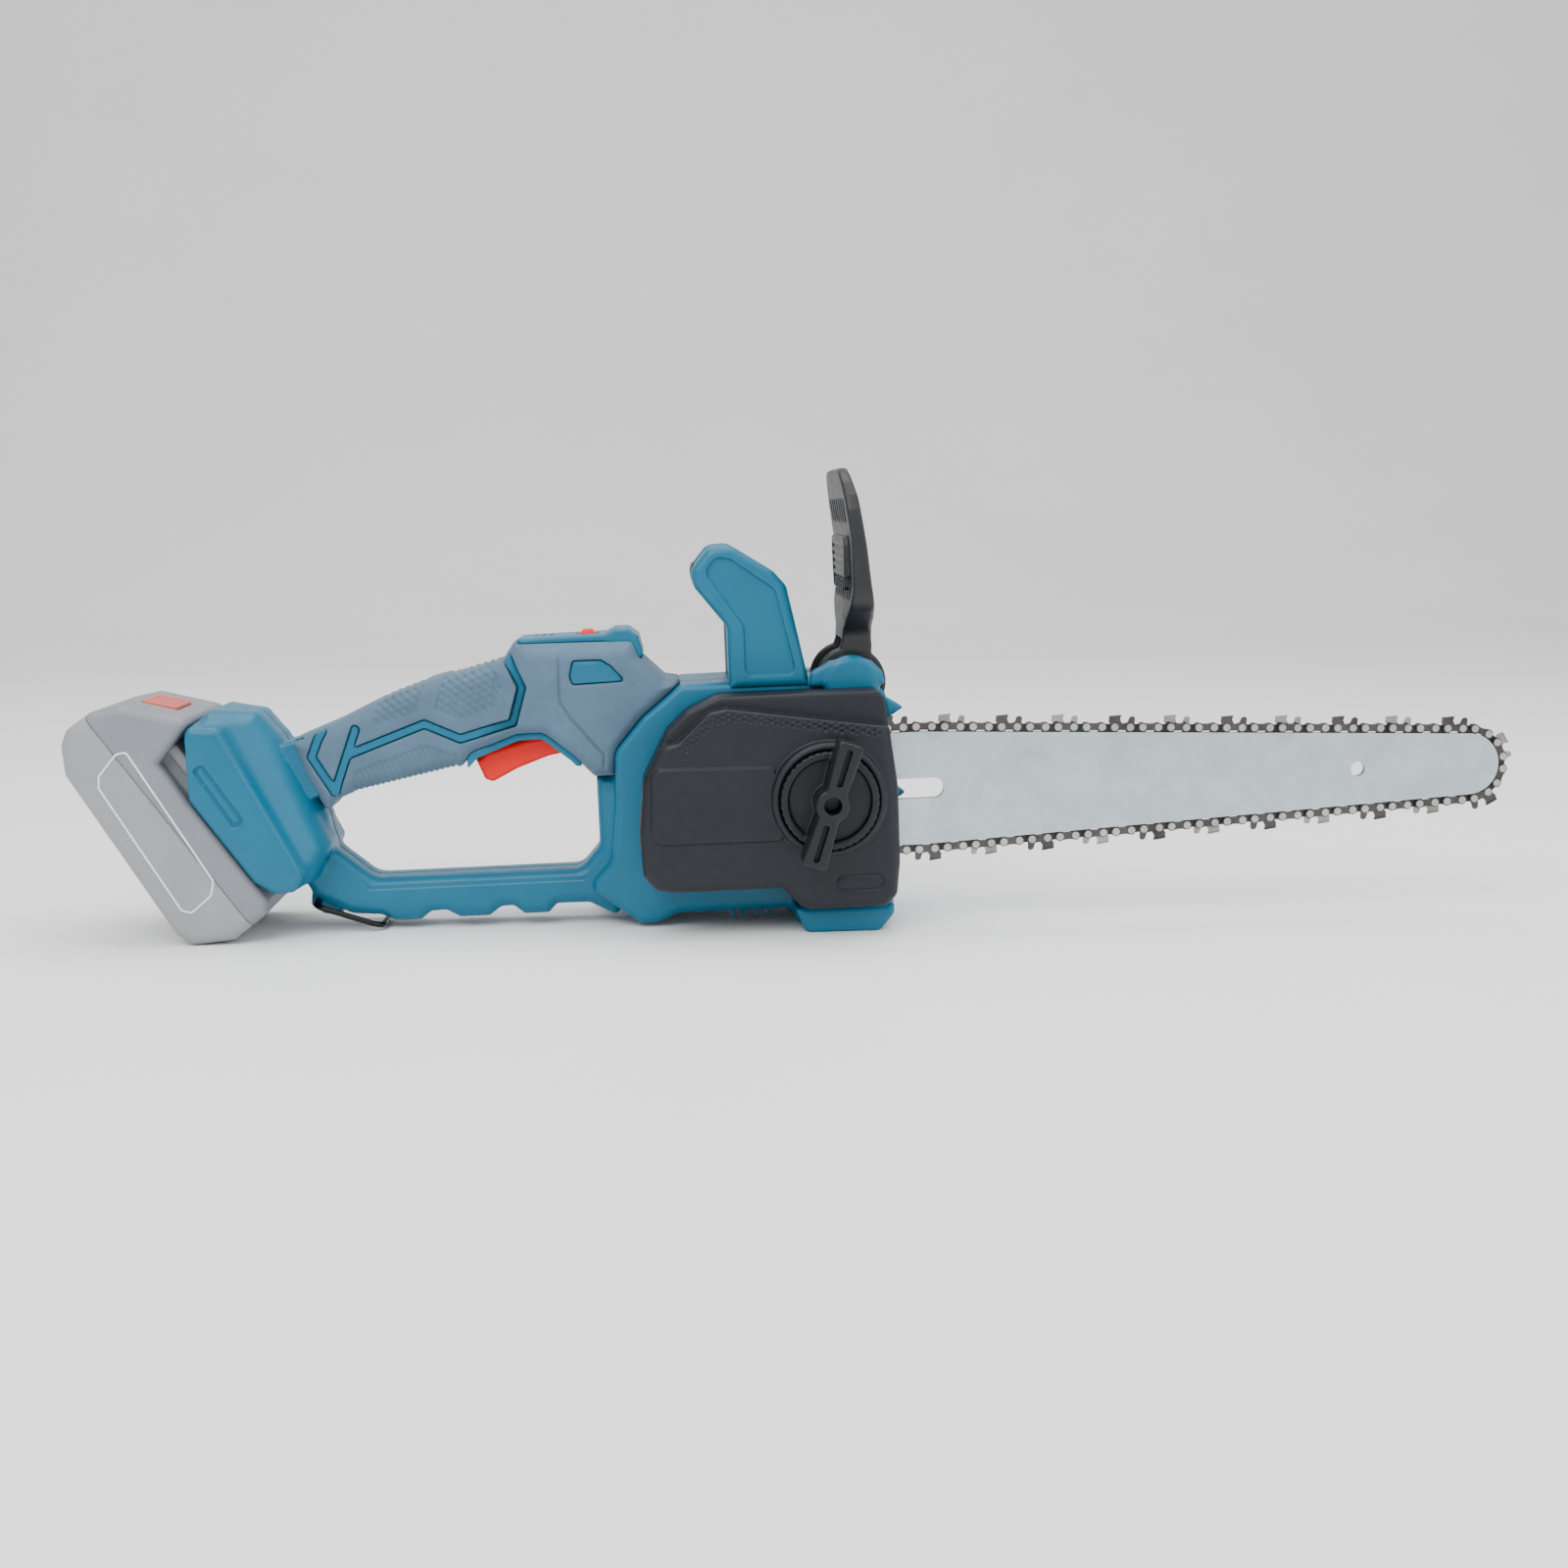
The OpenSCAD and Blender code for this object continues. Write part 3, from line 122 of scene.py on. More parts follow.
GUARD_SIDE = [(60, 60, 2), (73.5, 60, 2), (73.8, 76, 4), (71.8, 92, 20), (70.3, 108, 20),
              (67.5, 128, 20), (64.2, 141.6, 1.5), (59.5, 141, 2), (61, 131, 8),
              (63.6, 111, 20), (64, 90, 20), (61.5, 76, 4)]
TRIGGER = [(-104.5, 17.6, 1), (-100.8, 8.6, 2), (-97.2, 7.4, 2), (-86, 13, 12), (-72, 18, 8),
           (-58, 20.5, 2), (-55.8, 25, 2), (-60, 29.6, 2.5), (-68, 28.4, 2), (-82, 26.6, 6),
           (-100, 21.6, 2)]
ZIGZAG = [(-87.5, 64.1), (-81.4, 50.5), (-86.1, 35.1), (-109.5, 28.7), (-124.8, 35.9),
          (-158.2, 23.9)]
ZIGZAG_V = [(-154.9, 34.6), (-165.4, 7.4), (-174.5, 23.3), (-171.3, 30.9), (-169.5, 34.1)]
WINDOW = [(-59.1, 50.9, 1.5), (-36.0, 51.7, 1), (-42.1, 58.6, 1.5), (-46.2, 61.3, 1.5),
          (-58.6, 61.4, 1.5), (-60.2, 54.6, 1.5)]
CREASE = [(-64.8, 65), (-64.9, 43.1), (-59.9, 35.1), (-46.6, 19.1), (-47, 10.2)]
# battery outlines, along its rails and away from them
BATTERY = [(-20, -34.5, 5), (62, -40.4, 6), (70, -38, 4), (79, -22, 5), (78, -4, 3),
           (74, -0.2, 2), (-0.8, -0.2, 0.3), (-6.6, 20.2, 1), (-9.5, 20.8, 2), (-30, 3, 5),
           (-35, -9, 5), (-35, -22, 4), (-31, -28, 4)]
BATTERY_ROOM = [(-18.9, -32.3, 3), (61, -38.2, 4), (68.6, -36, 3), (75, -21.4, 3),
                (74.2, -3.8, 2), (-19.4, -2.1, 2), (-33.1, -11, 3), (-33.1, -21.5, 3),
                (-29.6, -26.6, 3)]
FOOT_WIDE = [(0.2, 0.4, 0.5), (64, 0.4, 4), (73, 4, 5), (78, 12, 5), (74, 20, 4), (60, 22, 5),
             (2, 30, 4), (-5.6, 20, 1)]
FOOT_NECK = [(-4, 16, 1), (76, 12, 3), (79, 18, 4), (72, 33, 4), (20, 43.4, 6), (5.5, 42.2, 4),
             (-7, 28, 3)]
FOOT_ROOM = [(3, 12.5, 1), (66, 12.5, 3), (72, 16, 3), (60, 25, 3), (22, 33, 3), (6, 33, 3),
             (0, 24, 2)]
RING_LUG = [(-181.5, -45, 2), (-176, -49, 1), (-168, -50.5, 1), (-168, -40, 1), (-180, -34, 2)]
FOOT_BADGE = [(-220.8, 21.8, 1), (-217.2, 23.7, 1), (-202, -0.2, 1), (-205.5, -3.2, 1)]
LABEL = [(-260.2, 21.3, 1), (-252.3, 30.4, 2), (-248.2, 31.3, 2), (-215.9, -26.2, 1),
         (-217.4, -32.6, 2), (-226.2, -39.7, 2), (-230.2, -38.4, 2), (-260.6, 16.1, 1)]
KNURL_FRONT = [(-114.7, 58, 1), (-94.4, 64, 1), (-90.8, 51.3, 1), (-93.2, 42.3, 1),
               (-108.6, 37.2, 1), (-120.0, 42.4, 1)]
KNURL_REAR = [(-142.6, 52, 1), (-123.4, 57, 1), (-128.3, 41.6, 1), (-147.5, 35.6, 1)]
RIB_PANEL = [(-156.5, 16.2, 1), (-124.9, 26.8, 2), (-111, 21.9, 2), (-112.5, 10, 1),
             (-159, -2, 1)]
HANDLE_EDGE = [(-170.5, -5), (-170.5, -17), (-152, -33), (-60, -33), (-51.2, -23)]
SHOULDER = [(45, 46.3, 1), (45.5, 53, 2), (50.5, 55.2, 3), (54, 57.6, 3), (72.5, 57, 3),
            (77.5, 52, 3), (78.5, 46.3, 1)]
# screw middles in X and Z, and how far each seat's face is from the middle plane
SCREWS = [(-33, -45, 41), (-28, 22.5, 41), (14, 39.5, 41), (71, -13, 41), (-130, 36, 15),
          (-74, 57, 17), (-100, -41.5, 9.5), (-190, 15, 20)]
FIRST_HANDLE_SCREW = 4
STUD = (50.0, 0.0)
GUARD_HUB = (63.8, 47.1)
GUARD_HUB_R, GUARD_HUB_ROOM, HUB_DOME = 15.8, 17.5, 12.5
BATTERY_AT = (-235.3, 24.7)
BATTERY_SLOPE = math.radians(56)
BUTTON_AT = (-20.0, 8.5)
BUTTON_TURN = math.radians(-42)
NEAR_FACE, FAR_FACE, COVER_FACE = -22.0, 45.0, -52.0


def battery_point(u, v):
    """A point of the battery's own axes in the bar's X and Z."""
    c, s = math.cos(BATTERY_SLOPE), math.sin(BATTERY_SLOPE)
    return BATTERY_AT[0] + u * c + v * s, BATTERY_AT[1] - u * s + v * c


def in_battery(outline):
    return [(*battery_point(p[0], p[1]), *p[2:]) for p in outline]


def rectangle(x0, x1, z0, z1, r=0.3):
    return [(x0, z0, r), (x1, z0, r), (x1, z1, r), (x0, z1, r)]


def turned(outline, centre, angle):
    """An outline about (0, 0), turned by angle and moved to centre."""
    c, s = math.cos(angle), math.sin(angle)
    return [(centre[0] + p[0] * c - p[1] * s, centre[1] + p[0] * s + p[1] * c, *p[2:])
            for p in outline]


ARC_STEPS = 6
MOST_OF_HALF = 0.48


def rounded(outline):
    """The outline's corners as arcs, as a list of plain points."""
    out = []
    n = len(outline)
    for i in range(n):
        p = np.array(outline[i - 1][:2], float)
        q = np.array(outline[i][:2], float)
        s = np.array(outline[(i + 1) % n][:2], float)
        r = outline[i][2]
        a = (p - q) / np.linalg.norm(p - q)
        b = (s - q) / np.linalg.norm(s - q)
        half = math.acos(max(-1, min(1, float(a @ b)))) / 2
        reach = min(r / math.tan(half), MOST_OF_HALF * np.linalg.norm(p - q),
                    MOST_OF_HALF * np.linalg.norm(s - q))
        fit = reach * math.tan(half)
        centre = q + (a + b) / np.linalg.norm(a + b) * fit / math.sin(half)
        t0, t1 = q + a * reach, q + b * reach
        a0 = math.atan2(t0[1] - centre[1], t0[0] - centre[0])
        a1 = math.atan2(t1[1] - centre[1], t1[0] - centre[0])
        sweep = (a1 - a0 + 3 * math.pi) % (2 * math.pi) - math.pi
        for k in range(ARC_STEPS + 1):
            t = a0 + sweep * k / ARC_STEPS
            out.append((centre[0] + fit * math.cos(t), centre[1] + fit * math.sin(t)))
    return out


# ------------ distance fields
FAR_AWAY, TINY = 1e9, 1e-9


def smooth_min(a, b, k):
    """Shapes a and b together, with a fillet of about k where they meet."""
    h = np.clip(0.5 + 0.5 * (b - a) / k, 0, 1)
    return b * (1 - h) + a * h - k * h * (1 - h)


def smooth_cut(a, b, k=0.5):
    """Shape a without shape b, with an edge rounded by about k."""
    return -smooth_min(-a, b, k)


def sharp_cut(a, b):
    """Shape a without shape b, with a sharp edge."""
    return np.maximum(a, -b)


class Space:
    """A box of sample points; shapes are arrays of distance, negative inside."""

    def __init__(self, x, y, z, step):
        self.step = step
        self.x = np.arange(x[0], x[1] + step, step, dtype=np.float32)
        self.y = np.arange(y[0], y[1] + step, step, dtype=np.float32)
        self.z = np.arange(z[0], z[1] + step, step, dtype=np.float32)
        self.X = self.x[:, None]
        self.Z = self.z[None, :]
        self.Y = self.y[None, :, None]

    def flat(self, points, along=None, up=None):
        """Signed distance to a polygon in X and Z, or in two other axes."""
        px = self.X if along is None else along
        pz = self.Z if up is None else up
        shape = np.broadcast(px, pz).shape
        best = np.full(shape, FAR_AWAY, np.float32)
        inside = np.zeros(shape, bool)
        n = len(points)
        for i in range(n):
            ax, az = points[i]
            bx, bz = points[(i + 1) % n]
            ex, ez = bx - ax, bz - az
            length = ex * ex + ez * ez
            if length < TINY:
                continue
            wx, wz = px - ax, pz - az
            t = np.clip((wx * ex + wz * ez) / length, 0, 1)
            best = np.minimum(best, (wx - ex * t) ** 2 + (wz - ez * t) ** 2)
            if abs(ez) > TINY:
                between = (pz >= min(az, bz)) & (pz < max(az, bz))
                inside ^= between & (px < ax + (pz - az) * ex / ez)
        return np.where(inside, -1, 1).astype(np.float32) * np.sqrt(best)

    def outline(self, corners):
        """Distance to an outline with rounded corners, seen from the side."""
        return self.flat(rounded(corners))

    def line(self, points, half_width):
        """A band round a chain of segments."""
        best = np.full((self.x.size, self.z.size), FAR_AWAY, np.float32)
        for (ax, az), (bx, bz) in zip(points[:-1], points[1:]):
            ex, ez = bx - ax, bz - az
            wx, wz = self.X - ax, self.Z - az
            t = np.clip((wx * ex + wz * ez) / (ex * ex + ez * ez), 0, 1)
            best = np.minimum(best, (wx - ex * t) ** 2 + (wz - ez * t) ** 2)
        return np.sqrt(best) - half_width

    def circle(self, centre, r):
        return np.sqrt((self.X - centre[0]) ** 2 + (self.Z - centre[1]) ** 2) - r

    def slab(self, shape, y0, y1, r0=0.0, r1=None):
        """A flat shape between two planes across the saw, edges rounded by r0 and r1."""
        r1 = r0 if r1 is None else r1
        middle = (y0 + y1) / 2
        r = np.where(self.Y < middle, np.float32(r0), np.float32(r1))
        w = np.where(self.Y < middle, y0 - self.Y, self.Y - y1) + r
        a = shape[:, None, :] + r
        outer = np.sqrt(np.maximum(a, 0) ** 2 + np.maximum(w, 0) ** 2)
        return (np.minimum(np.maximum(a, w), 0) + outer - r).astype(np.float32)

    def plate(self, corners, *reach):
        return self.slab(self.outline(corners), *reach)

    def rod(self, centre, r, *reach):
        return self.slab(self.circle(centre, r), *reach)

    def above_ground(self):
        """Negative above the ground the saw stands on."""
        return -(self.X * SIN_T + self.Z * COS_T + AXIS_HEIGHT)[:, None, :]


BAND_STEPS = 3


def make(name, space, field, material, adaptivity=0.0):
    """A closed mesh of the field's zero surface, as an object in the model's frame."""
    step = space.step
    limit = BAND_STEPS * step
    data = np.ascontiguousarray(np.clip(field, -limit, limit).astype(np.float32))
    data[0, :, :] = data[-1, :, :] = limit
    data[:, 0, :] = data[:, -1, :] = limit
    data[:, :, 0] = data[:, :, -1] = limit
    grid = vdb.FloatGrid(limit)
    grid.copyFromArray(data)
    points, tris, quads = grid.convertToPolygons(0.0, adaptivity)
    origin = np.array([space.x[0], space.y[0], space.z[0]])
    points = place(np.asarray(points, np.float64) * step + origin)
    faces = [f[::-1] for f in np.asarray(quads).tolist()] if len(quads) else []
    faces += [f[::-1] for f in np.asarray(tris).tolist()] if len(tris) else []
    mesh = bpy.data.meshes.new(name)
    mesh.from_pydata(points.tolist(), [], faces)
    mesh.validate()
    volume = sum(p.center.dot(p.normal) * p.area for p in mesh.polygons)
    if volume < 0:
        mesh.flip_normals()
    mesh.polygons.foreach_set("use_smooth", [True] * len(mesh.polygons))
    mesh.materials.append(material)
    mesh.update()
    obj = bpy.data.objects.new(name, mesh)
    bpy.context.scene.collection.objects.link(obj)
    return obj


def piece(name, space, field, material, body, nodes, adaptivity=0.0):
    """A shaped piece that rides a body and stands for the CAD nodes it covers."""
    obj = make(name, space, field, material, adaptivity)
    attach(obj, body)
    if nodes:
        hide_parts(*nodes)
    return obj


# ------------ materials
def srgb(r, g, b):
    """A display colour, 0 to 255, as a linear one."""
    def linear(c):
        c /= 255
        return c / 12.92 if c <= 0.04045 else ((c + 0.055) / 1.055) ** 2.4
    return (linear(r), linear(g), linear(b), 1.0)


def shade(colour, factor):
    return tuple(min(1.0, c * factor) for c in colour[:3]) + (1.0,)


def new_material(name):
    """An empty material with one principled shader."""
    mat = bpy.data.materials.new(name)
    mat.use_nodes = True
    tree = mat.node_tree
    tree.nodes.clear()
    out = tree.nodes.new("ShaderNodeOutputMaterial")
    shader = tree.nodes.new("ShaderNodeBsdfPrincipled")
    tree.links.new(shader.outputs["BSDF"], out.inputs["Surface"])
    return mat, tree, shader


def noise(tree, scale, detail=4.0, roughness=0.55, stretch=None):
    """Solid noise in the object's own metres, stretched for grain."""
    coords = tree.nodes.new("ShaderNodeTexCoord")
    source = coords.outputs["Object"]
    if stretch:
        mapping = tree.nodes.new("ShaderNodeMapping")
        mapping.inputs["Scale"].default_value = stretch
        tree.links.new(source, mapping.inputs["Vector"])
        source = mapping.outputs["Vector"]
    tex = tree.nodes.new("ShaderNodeTexNoise")
    tex.inputs["Scale"].default_value = scale
    tex.inputs["Detail"].default_value = detail
    tex.inputs["Roughness"].default_value = roughness
    tree.links.new(source, tex.inputs["Vector"])
    return tex.outputs["Fac"]


def ramp(tree, fac, stops):
    """Colours spread over a factor."""
    node = tree.nodes.new("ShaderNodeValToRGB")
    elements = node.color_ramp.elements
    elements[0].position, elements[0].color = stops[0]
    elements[1].position, elements[1].color = stops[-1]
    for position, colour in stops[1:-1]:
        elements.new(position).color = colour
    tree.links.new(fac, node.inputs["Fac"])
    return node.outputs["Color"]


NOISE_LOW, NOISE_HIGH = 0.3, 0.7


def spread(tree, fac, low, high):
    """A noise's middle range spread over low to high."""
    node = tree.nodes.new("ShaderNodeMapRange")
    node.inputs["From Min"].default_value = NOISE_LOW
    node.inputs["From Max"].default_value = NOISE_HIGH
    node.inputs["To Min"].default_value = low
    node.inputs["To Max"].default_value = high
    tree.links.new(fac, node.inputs["Value"])
    return node.outputs["Result"]


def bump(tree, shader, height, distance):
    """Fine relief, distance high in metres."""
    node = tree.nodes.new("ShaderNodeBump")
    node.inputs["Strength"].default_value = 1.0
    node.inputs["Distance"].default_value = distance
    tree.links.new(height, node.inputs["Height"])
    tree.links.new(node.outputs["Normal"], shader.inputs["Normal"])


def moulded(name, colour, rough=(0.42, 0.6), grain=2600.0, depth=0.00004, mottle=0.1,
            specular=0.45):
    """Moulded plastic: fine texture, slow colour drift, scuffs in the roughness."""
    mat, tree, shader = new_material(name)
    slow = noise(tree, 45.0, 3.0)
    dark, light = shade(colour, 1 - mottle), shade(colour, 1 + mottle)
    tree.links.new(ramp(tree, slow, [(NOISE_LOW, dark), (NOISE_HIGH, light)]),
                   shader.inputs["Base Color"])
    scuff = noise(tree, 260.0, 6.0, 0.7)
    tree.links.new(spread(tree, scuff, rough[0], rough[1]), shader.inputs["Roughness"])
    shader.inputs["Specular IOR Level"].default_value = specular
    bump(tree, shader, noise(tree, grain, 2.0), depth)
    return mat


def rubber(name, colour):
    """Soft overmoulding: matte, with a faint sheen and a leathery grain."""
    mat, tree, shader = new_material(name)
    slow = noise(tree, 60.0, 4.0)
    dark, light = shade(colour, 0.88), shade(colour, 1.1)
    tree.links.new(ramp(tree, slow, [(NOISE_LOW, dark), (NOISE_HIGH, light)]),
                   shader.inputs["Base Color"])
    dust = spread(tree, noise(tree, 400.0, 5.0), 0.62, 0.8)
    tree.links.new(dust, shader.inputs["Roughness"])
    shader.inputs["Sheen Weight"].default_value = 0.12
    shader.inputs["Sheen Roughness"].default_value = 0.5
    shader.inputs["Specular IOR Level"].default_value = 0.35
    bump(tree, shader, noise(tree, 1500.0, 3.0), 0.00007)
    return mat


def metal(name, colour, rough=(0.22, 0.4), brush=(40.0, 400.0, 900.0), depth=0.00001,
          grime=0.35):
    """Ground or rolled steel: directional grind marks and a drift of oil and grime."""
    mat, tree, shader = new_material(name)
    shader.inputs["Metallic"].default_value = 1.0
    film = noise(tree, 70.0, 6.0, 0.65)
    tree.links.new(ramp(tree, film, [(0.25, shade(colour, 1 - grime)), (0.55, colour),
                                     (0.8, shade(colour, 1.06))]), shader.inputs["Base Color"])
    marks = noise(tree, 3.0, 5.0, 0.6, stretch=brush)
    tree.links.new(spread(tree, marks, rough[0], rough[1]), shader.inputs["Roughness"])
    bump(tree, shader, marks, depth)
    return mat


def build_materials():
    m = {}
    m["blue"] = moulded("blue_plastic", srgb(0, 96, 126), (0.3, 0.46), mottle=0.06,
                        specular=0.35)
    m["grip"] = rubber("soft_grip", srgb(76, 102, 122))
    m["rubber"] = rubber("black_rubber", srgb(20, 21, 22))
    m["cover"] = moulded("charcoal_plastic", srgb(15, 20, 27), (0.4, 0.55), mottle=0.08,
                         specular=0.35)
    m["knob"] = moulded("knob_plastic", srgb(13, 16, 21), (0.36, 0.5), mottle=0.07,
                        specular=0.35)
    m["black"] = moulded("black_plastic", srgb(20, 21, 23), (0.36, 0.55), mottle=0.12)
    m["red"] = moulded("red_plastic", srgb(228, 14, 0), (0.3, 0.42), depth=0.00002,
                       mottle=0.05, specular=0.3)
    m["bar"] = metal("bar_steel", srgb(186, 198, 205), (0.28, 0.42), (6.0, 300.0, 900.0),
                     grime=0.18)
    m["dark_steel"] = metal("dark_steel", srgb(58, 59, 62), (0.3, 0.5))
    m["links"] = metal("oiled_links", srgb(62, 61, 59), (0.25, 0.45), grime=0.5)
    m["straps"] = metal("chain_steel", srgb(84, 83, 81), (0.2, 0.38), grime=0.5)
    m["cutters"] = metal("chromed_cutters", srgb(150, 150, 148), (0.12, 0.3), grime=0.5)
    m["rivets"] = metal("rivet_steel", srgb(176, 176, 174), (0.16, 0.3), grime=0.3)
    m["steel"] = metal("plain_steel", srgb(186, 188, 192), (0.2, 0.38), grime=0.25)
    m["iron"] = metal("stator_iron", srgb(150, 152, 156), (0.4, 0.6), (30.0, 2600.0, 30.0))
    m["copper"] = metal("enamelled_copper", srgb(196, 116, 60), (0.25, 0.4),
                        (900.0, 60.0, 900.0))
    m["cast"] = metal("cast_aluminium", srgb(180, 182, 186), (0.42, 0.62),
                      (400.0, 400.0, 400.0), 0.00004)
    m["tank"] = moulded("tank_plastic", srgb(224, 222, 212), (0.3, 0.45), mottle=0.05)
    m["nylon"] = moulded("gear_nylon", srgb(228, 224, 208), (0.35, 0.5), mottle=0.04)
    m["pump"] = moulded("pump_plastic", srgb(44, 44, 46), (0.4, 0.55))
    m["wire"] = metal("black_wire", srgb(48, 48, 50), (0.25, 0.4), grime=0.3)
    m["battery"] = moulded("battery_plastic", srgb(140, 143, 147), (0.42, 0.58), mottle=0.05)
    m["battery_top"] = moulded("battery_top_plastic", srgb(122, 126, 132), (0.42, 0.58),
                               mottle=0.05)
    m["sleeve"] = moulded("cell_sleeve", srgb(40, 110, 175), (0.25, 0.38), mottle=0.05)
    m["release"] = moulded("release_plastic", srgb(196, 84, 70), (0.32, 0.45), mottle=0.06)
    m["label"] = moulded("label_line", srgb(228, 230, 232), (0.4, 0.55), mottle=0.03)
    return m


M = build_materials()
NODE_FINISHES = {
    "dark_steel": ("housing_screws", "knob_nut", "bar_stud", "bar_core", "nose_sprocket",
        "tension_block", "drive_sprocket", "sprocket_clip", "motor_rotor", "pump_worm"),
    "steel": ("bar_pad", "nose_bearing", "tension_screw", "sprocket_washer", "motor_shaft",
        "shaft_bearings", "guard_pins", "trigger_pin", "trigger_spring", "lock_spring",
        "button_spring"),
    "bar": ("bar_plate_right", "bar_plate_left", "bar_rivets"),
    "links": ("chain_drive_links",),
    "straps": ("chain_tie_straps", "chain_cutters_right"),
    "cutters": ("chain_cutters_left",),
    "rivets": ("chain_rivets",),
    "iron": ("motor_stator",),
    "copper": ("motor_windings", "battery_contacts"),
    "cast": ("motor_end_plate", "controller"),
    "black": ("cooling_fan", "oil_cap", "brake_switch", "trigger_switch", "terminal_block"),
    "nylon": ("pump_gear",),
    "pump": ("oil_pump",),
    "tank": ("oil_tank",),
    "wire": ("storage_ring",),
    "sleeve": ("battery_cells",),
}


def dress_cad_nodes():
    """The CAD nodes that stay in view get their finished materials."""
    for key, names in NODE_FINISHES.items():
        for name in names:
            mesh = NODES[name].data
            mesh.materials.clear()
            mesh.materials.append(M[key])


# ------------ shared cuts
CORE_HALF, CORE_EDGE = 15.4, 1.5
CAP_HALF = 15.0
GUARD_ARM = (13.7, 19.5)
HALF_GAP = 0.05
SCREW_RECESS, SCREW_SINK = 3.9, 3.0


def ridged(grid, pitch, angle):
    """A triangle wave across a direction in X and Z, from 0 to 1."""
    t = (grid.X * math.cos(angle) + grid.Z * math.sin(angle)) / pitch
    return np.abs((t % 1.0) - 0.5) * 2


def both_sides(grid, shape, inner, outer, edge=0.0):
    """The same flat shape on both sides of the middle plane."""
    return np.minimum(grid.slab(shape, -outer, -inner, edge), grid.slab(shape, inner, outer, edge))


def panel(grid, outline, fade=0.6):
    """1 inside an outline and 0 outside it, with a short slope between."""
    return np.clip(0.5 - outline / fade, 0, 1)


def handle_core(grid, grow=0.0):
    reach = CORE_HALF + grow
    return grid.slab(grid.outline(CORE) - grow, -reach, reach, CORE_EDGE)


def body_block(grid, grow=0.0):
    return grid.slab(grid.outline(BODY) - grow, NEAR_FACE - grow, FAR_FACE + grow, 3.5, 9.0)


def cap_block(grid, grow=0.0):
    return grid.slab(grid.outline(CAP) - grow, -CAP_HALF - grow, CAP_HALF + grow, 1.6)


def trigger_room(grid):
    return grid.plate(rectangle(-107.6, -54, 4, 31.4), -7.6, 7.6)


def button_room(grid):
    return grid.plate(rectangle(-57.2, -47.2, 60, 80), -5.4, 5.4)


def zigzag(grid, grow=0.0):
    half_width = 1.85 + grow
    return np.minimum(grid.line(ZIGZAG, half_width), grid.line(ZIGZAG_V, half_width))


def trigger_lip(grid, grow=0.0):
    """The strip of blue shell below the soft grip that the trigger comes out of."""
    side = grid.outline(GRIP)
    strip = np.maximum(side - 2.6, -side - 1.0) - grow
    return np.maximum(strip, grid.outline(rectangle(-107.4, -57, 14, 34)))


def guard_room(grid):
    """The room that the guard's two hubs and arms turn in."""
    inner, outer = GUARD_ARM
    hub = grid.circle(GUARD_HUB, GUARD_HUB_ROOM)
    above = grid.outline(rectangle(46.3, 90, 47.1, 71.1))
    dome = grid.rod(GUARD_HUB, HUB_DOME, -60, -outer)
    near = np.minimum(grid.slab(hub, -outer, -inner), grid.slab(above, -23, -inner))
    near = np.maximum(near, -dome)
    far = np.minimum(grid.slab(hub, inner, outer), grid.slab(above, inner, outer))
    return np.minimum(near, far)


def two_halves(solid, grid, names, material, prefix, adaptivity):
    """A shell split along the middle plane into its right and left pieces."""
    right = smooth_cut(solid, -grid.Y - HALF_GAP, 0.5)
    left = smooth_cut(solid, grid.Y - HALF_GAP, 0.5)
    for name, part in zip(names, (right, left)):
        piece(prefix + name, grid, part, material, "housing", [name], adaptivity)


# ------------ housing
HANDLE_HALF, SOLE_HALF, FOOT_HALF = 13.0, 40.0, 38.0
# the foot's neck: heights along the battery's slope, and half widths at them
NECK_HEIGHTS, NECK_HALVES = [12, 22, 30, 37, 44], [36.5, 32, 26.5, 21, 17]
NECK_EDGE, NECK_LEAN = 7.0, 0.85
SPIKE_HEIGHTS, SPIKE_HALF, SPIKE_ROOT, SPIKE_TIP = (35.6, -2.5), 5.0, 78.0, 86.0
OIL_CAP_AT, OIL_CAP_ROOM = (56, -32), 12.4
RING_PIN_AT, RING_PIN_ROOM = (-178.2, -43.5), 1.4
SPROCKET_ROOM, STUD_ROOM = 12.0, 3.2


def add_body(grid):
    """Motor body, sole, handle loop, guard dome and bumper spikes in one solid."""
    solid = body_block(grid)
    sole = grid.plate(SOLE, -SOLE_HALF, SOLE_HALF, 3)
    handle = grid.plate(LOWER_HANDLE, -HANDLE_HALF, HANDLE_HALF, 5.5)
    solid = smooth_min(smooth_min(solid, sole, 3), handle, 4)
    solid = np.minimum(solid, grid.rod(GUARD_HUB, HUB_DOME, -28, 28, 3.5))
    for z in SPIKE_HEIGHTS:
        spike = [(SPIKE_ROOT, z - SPIKE_HALF), (SPIKE_TIP, z), (SPIKE_ROOT, z + SPIKE_HALF)]
        solid = np.minimum(solid, grid.slab(grid.flat(spike) - 0.2, -26, -14))
    screw_boss = grid.outline(rectangle(61, 79, -21, -13, 1))
    return np.minimum(solid, grid.slab(screw_boss, -28.5, -20, 0.6))


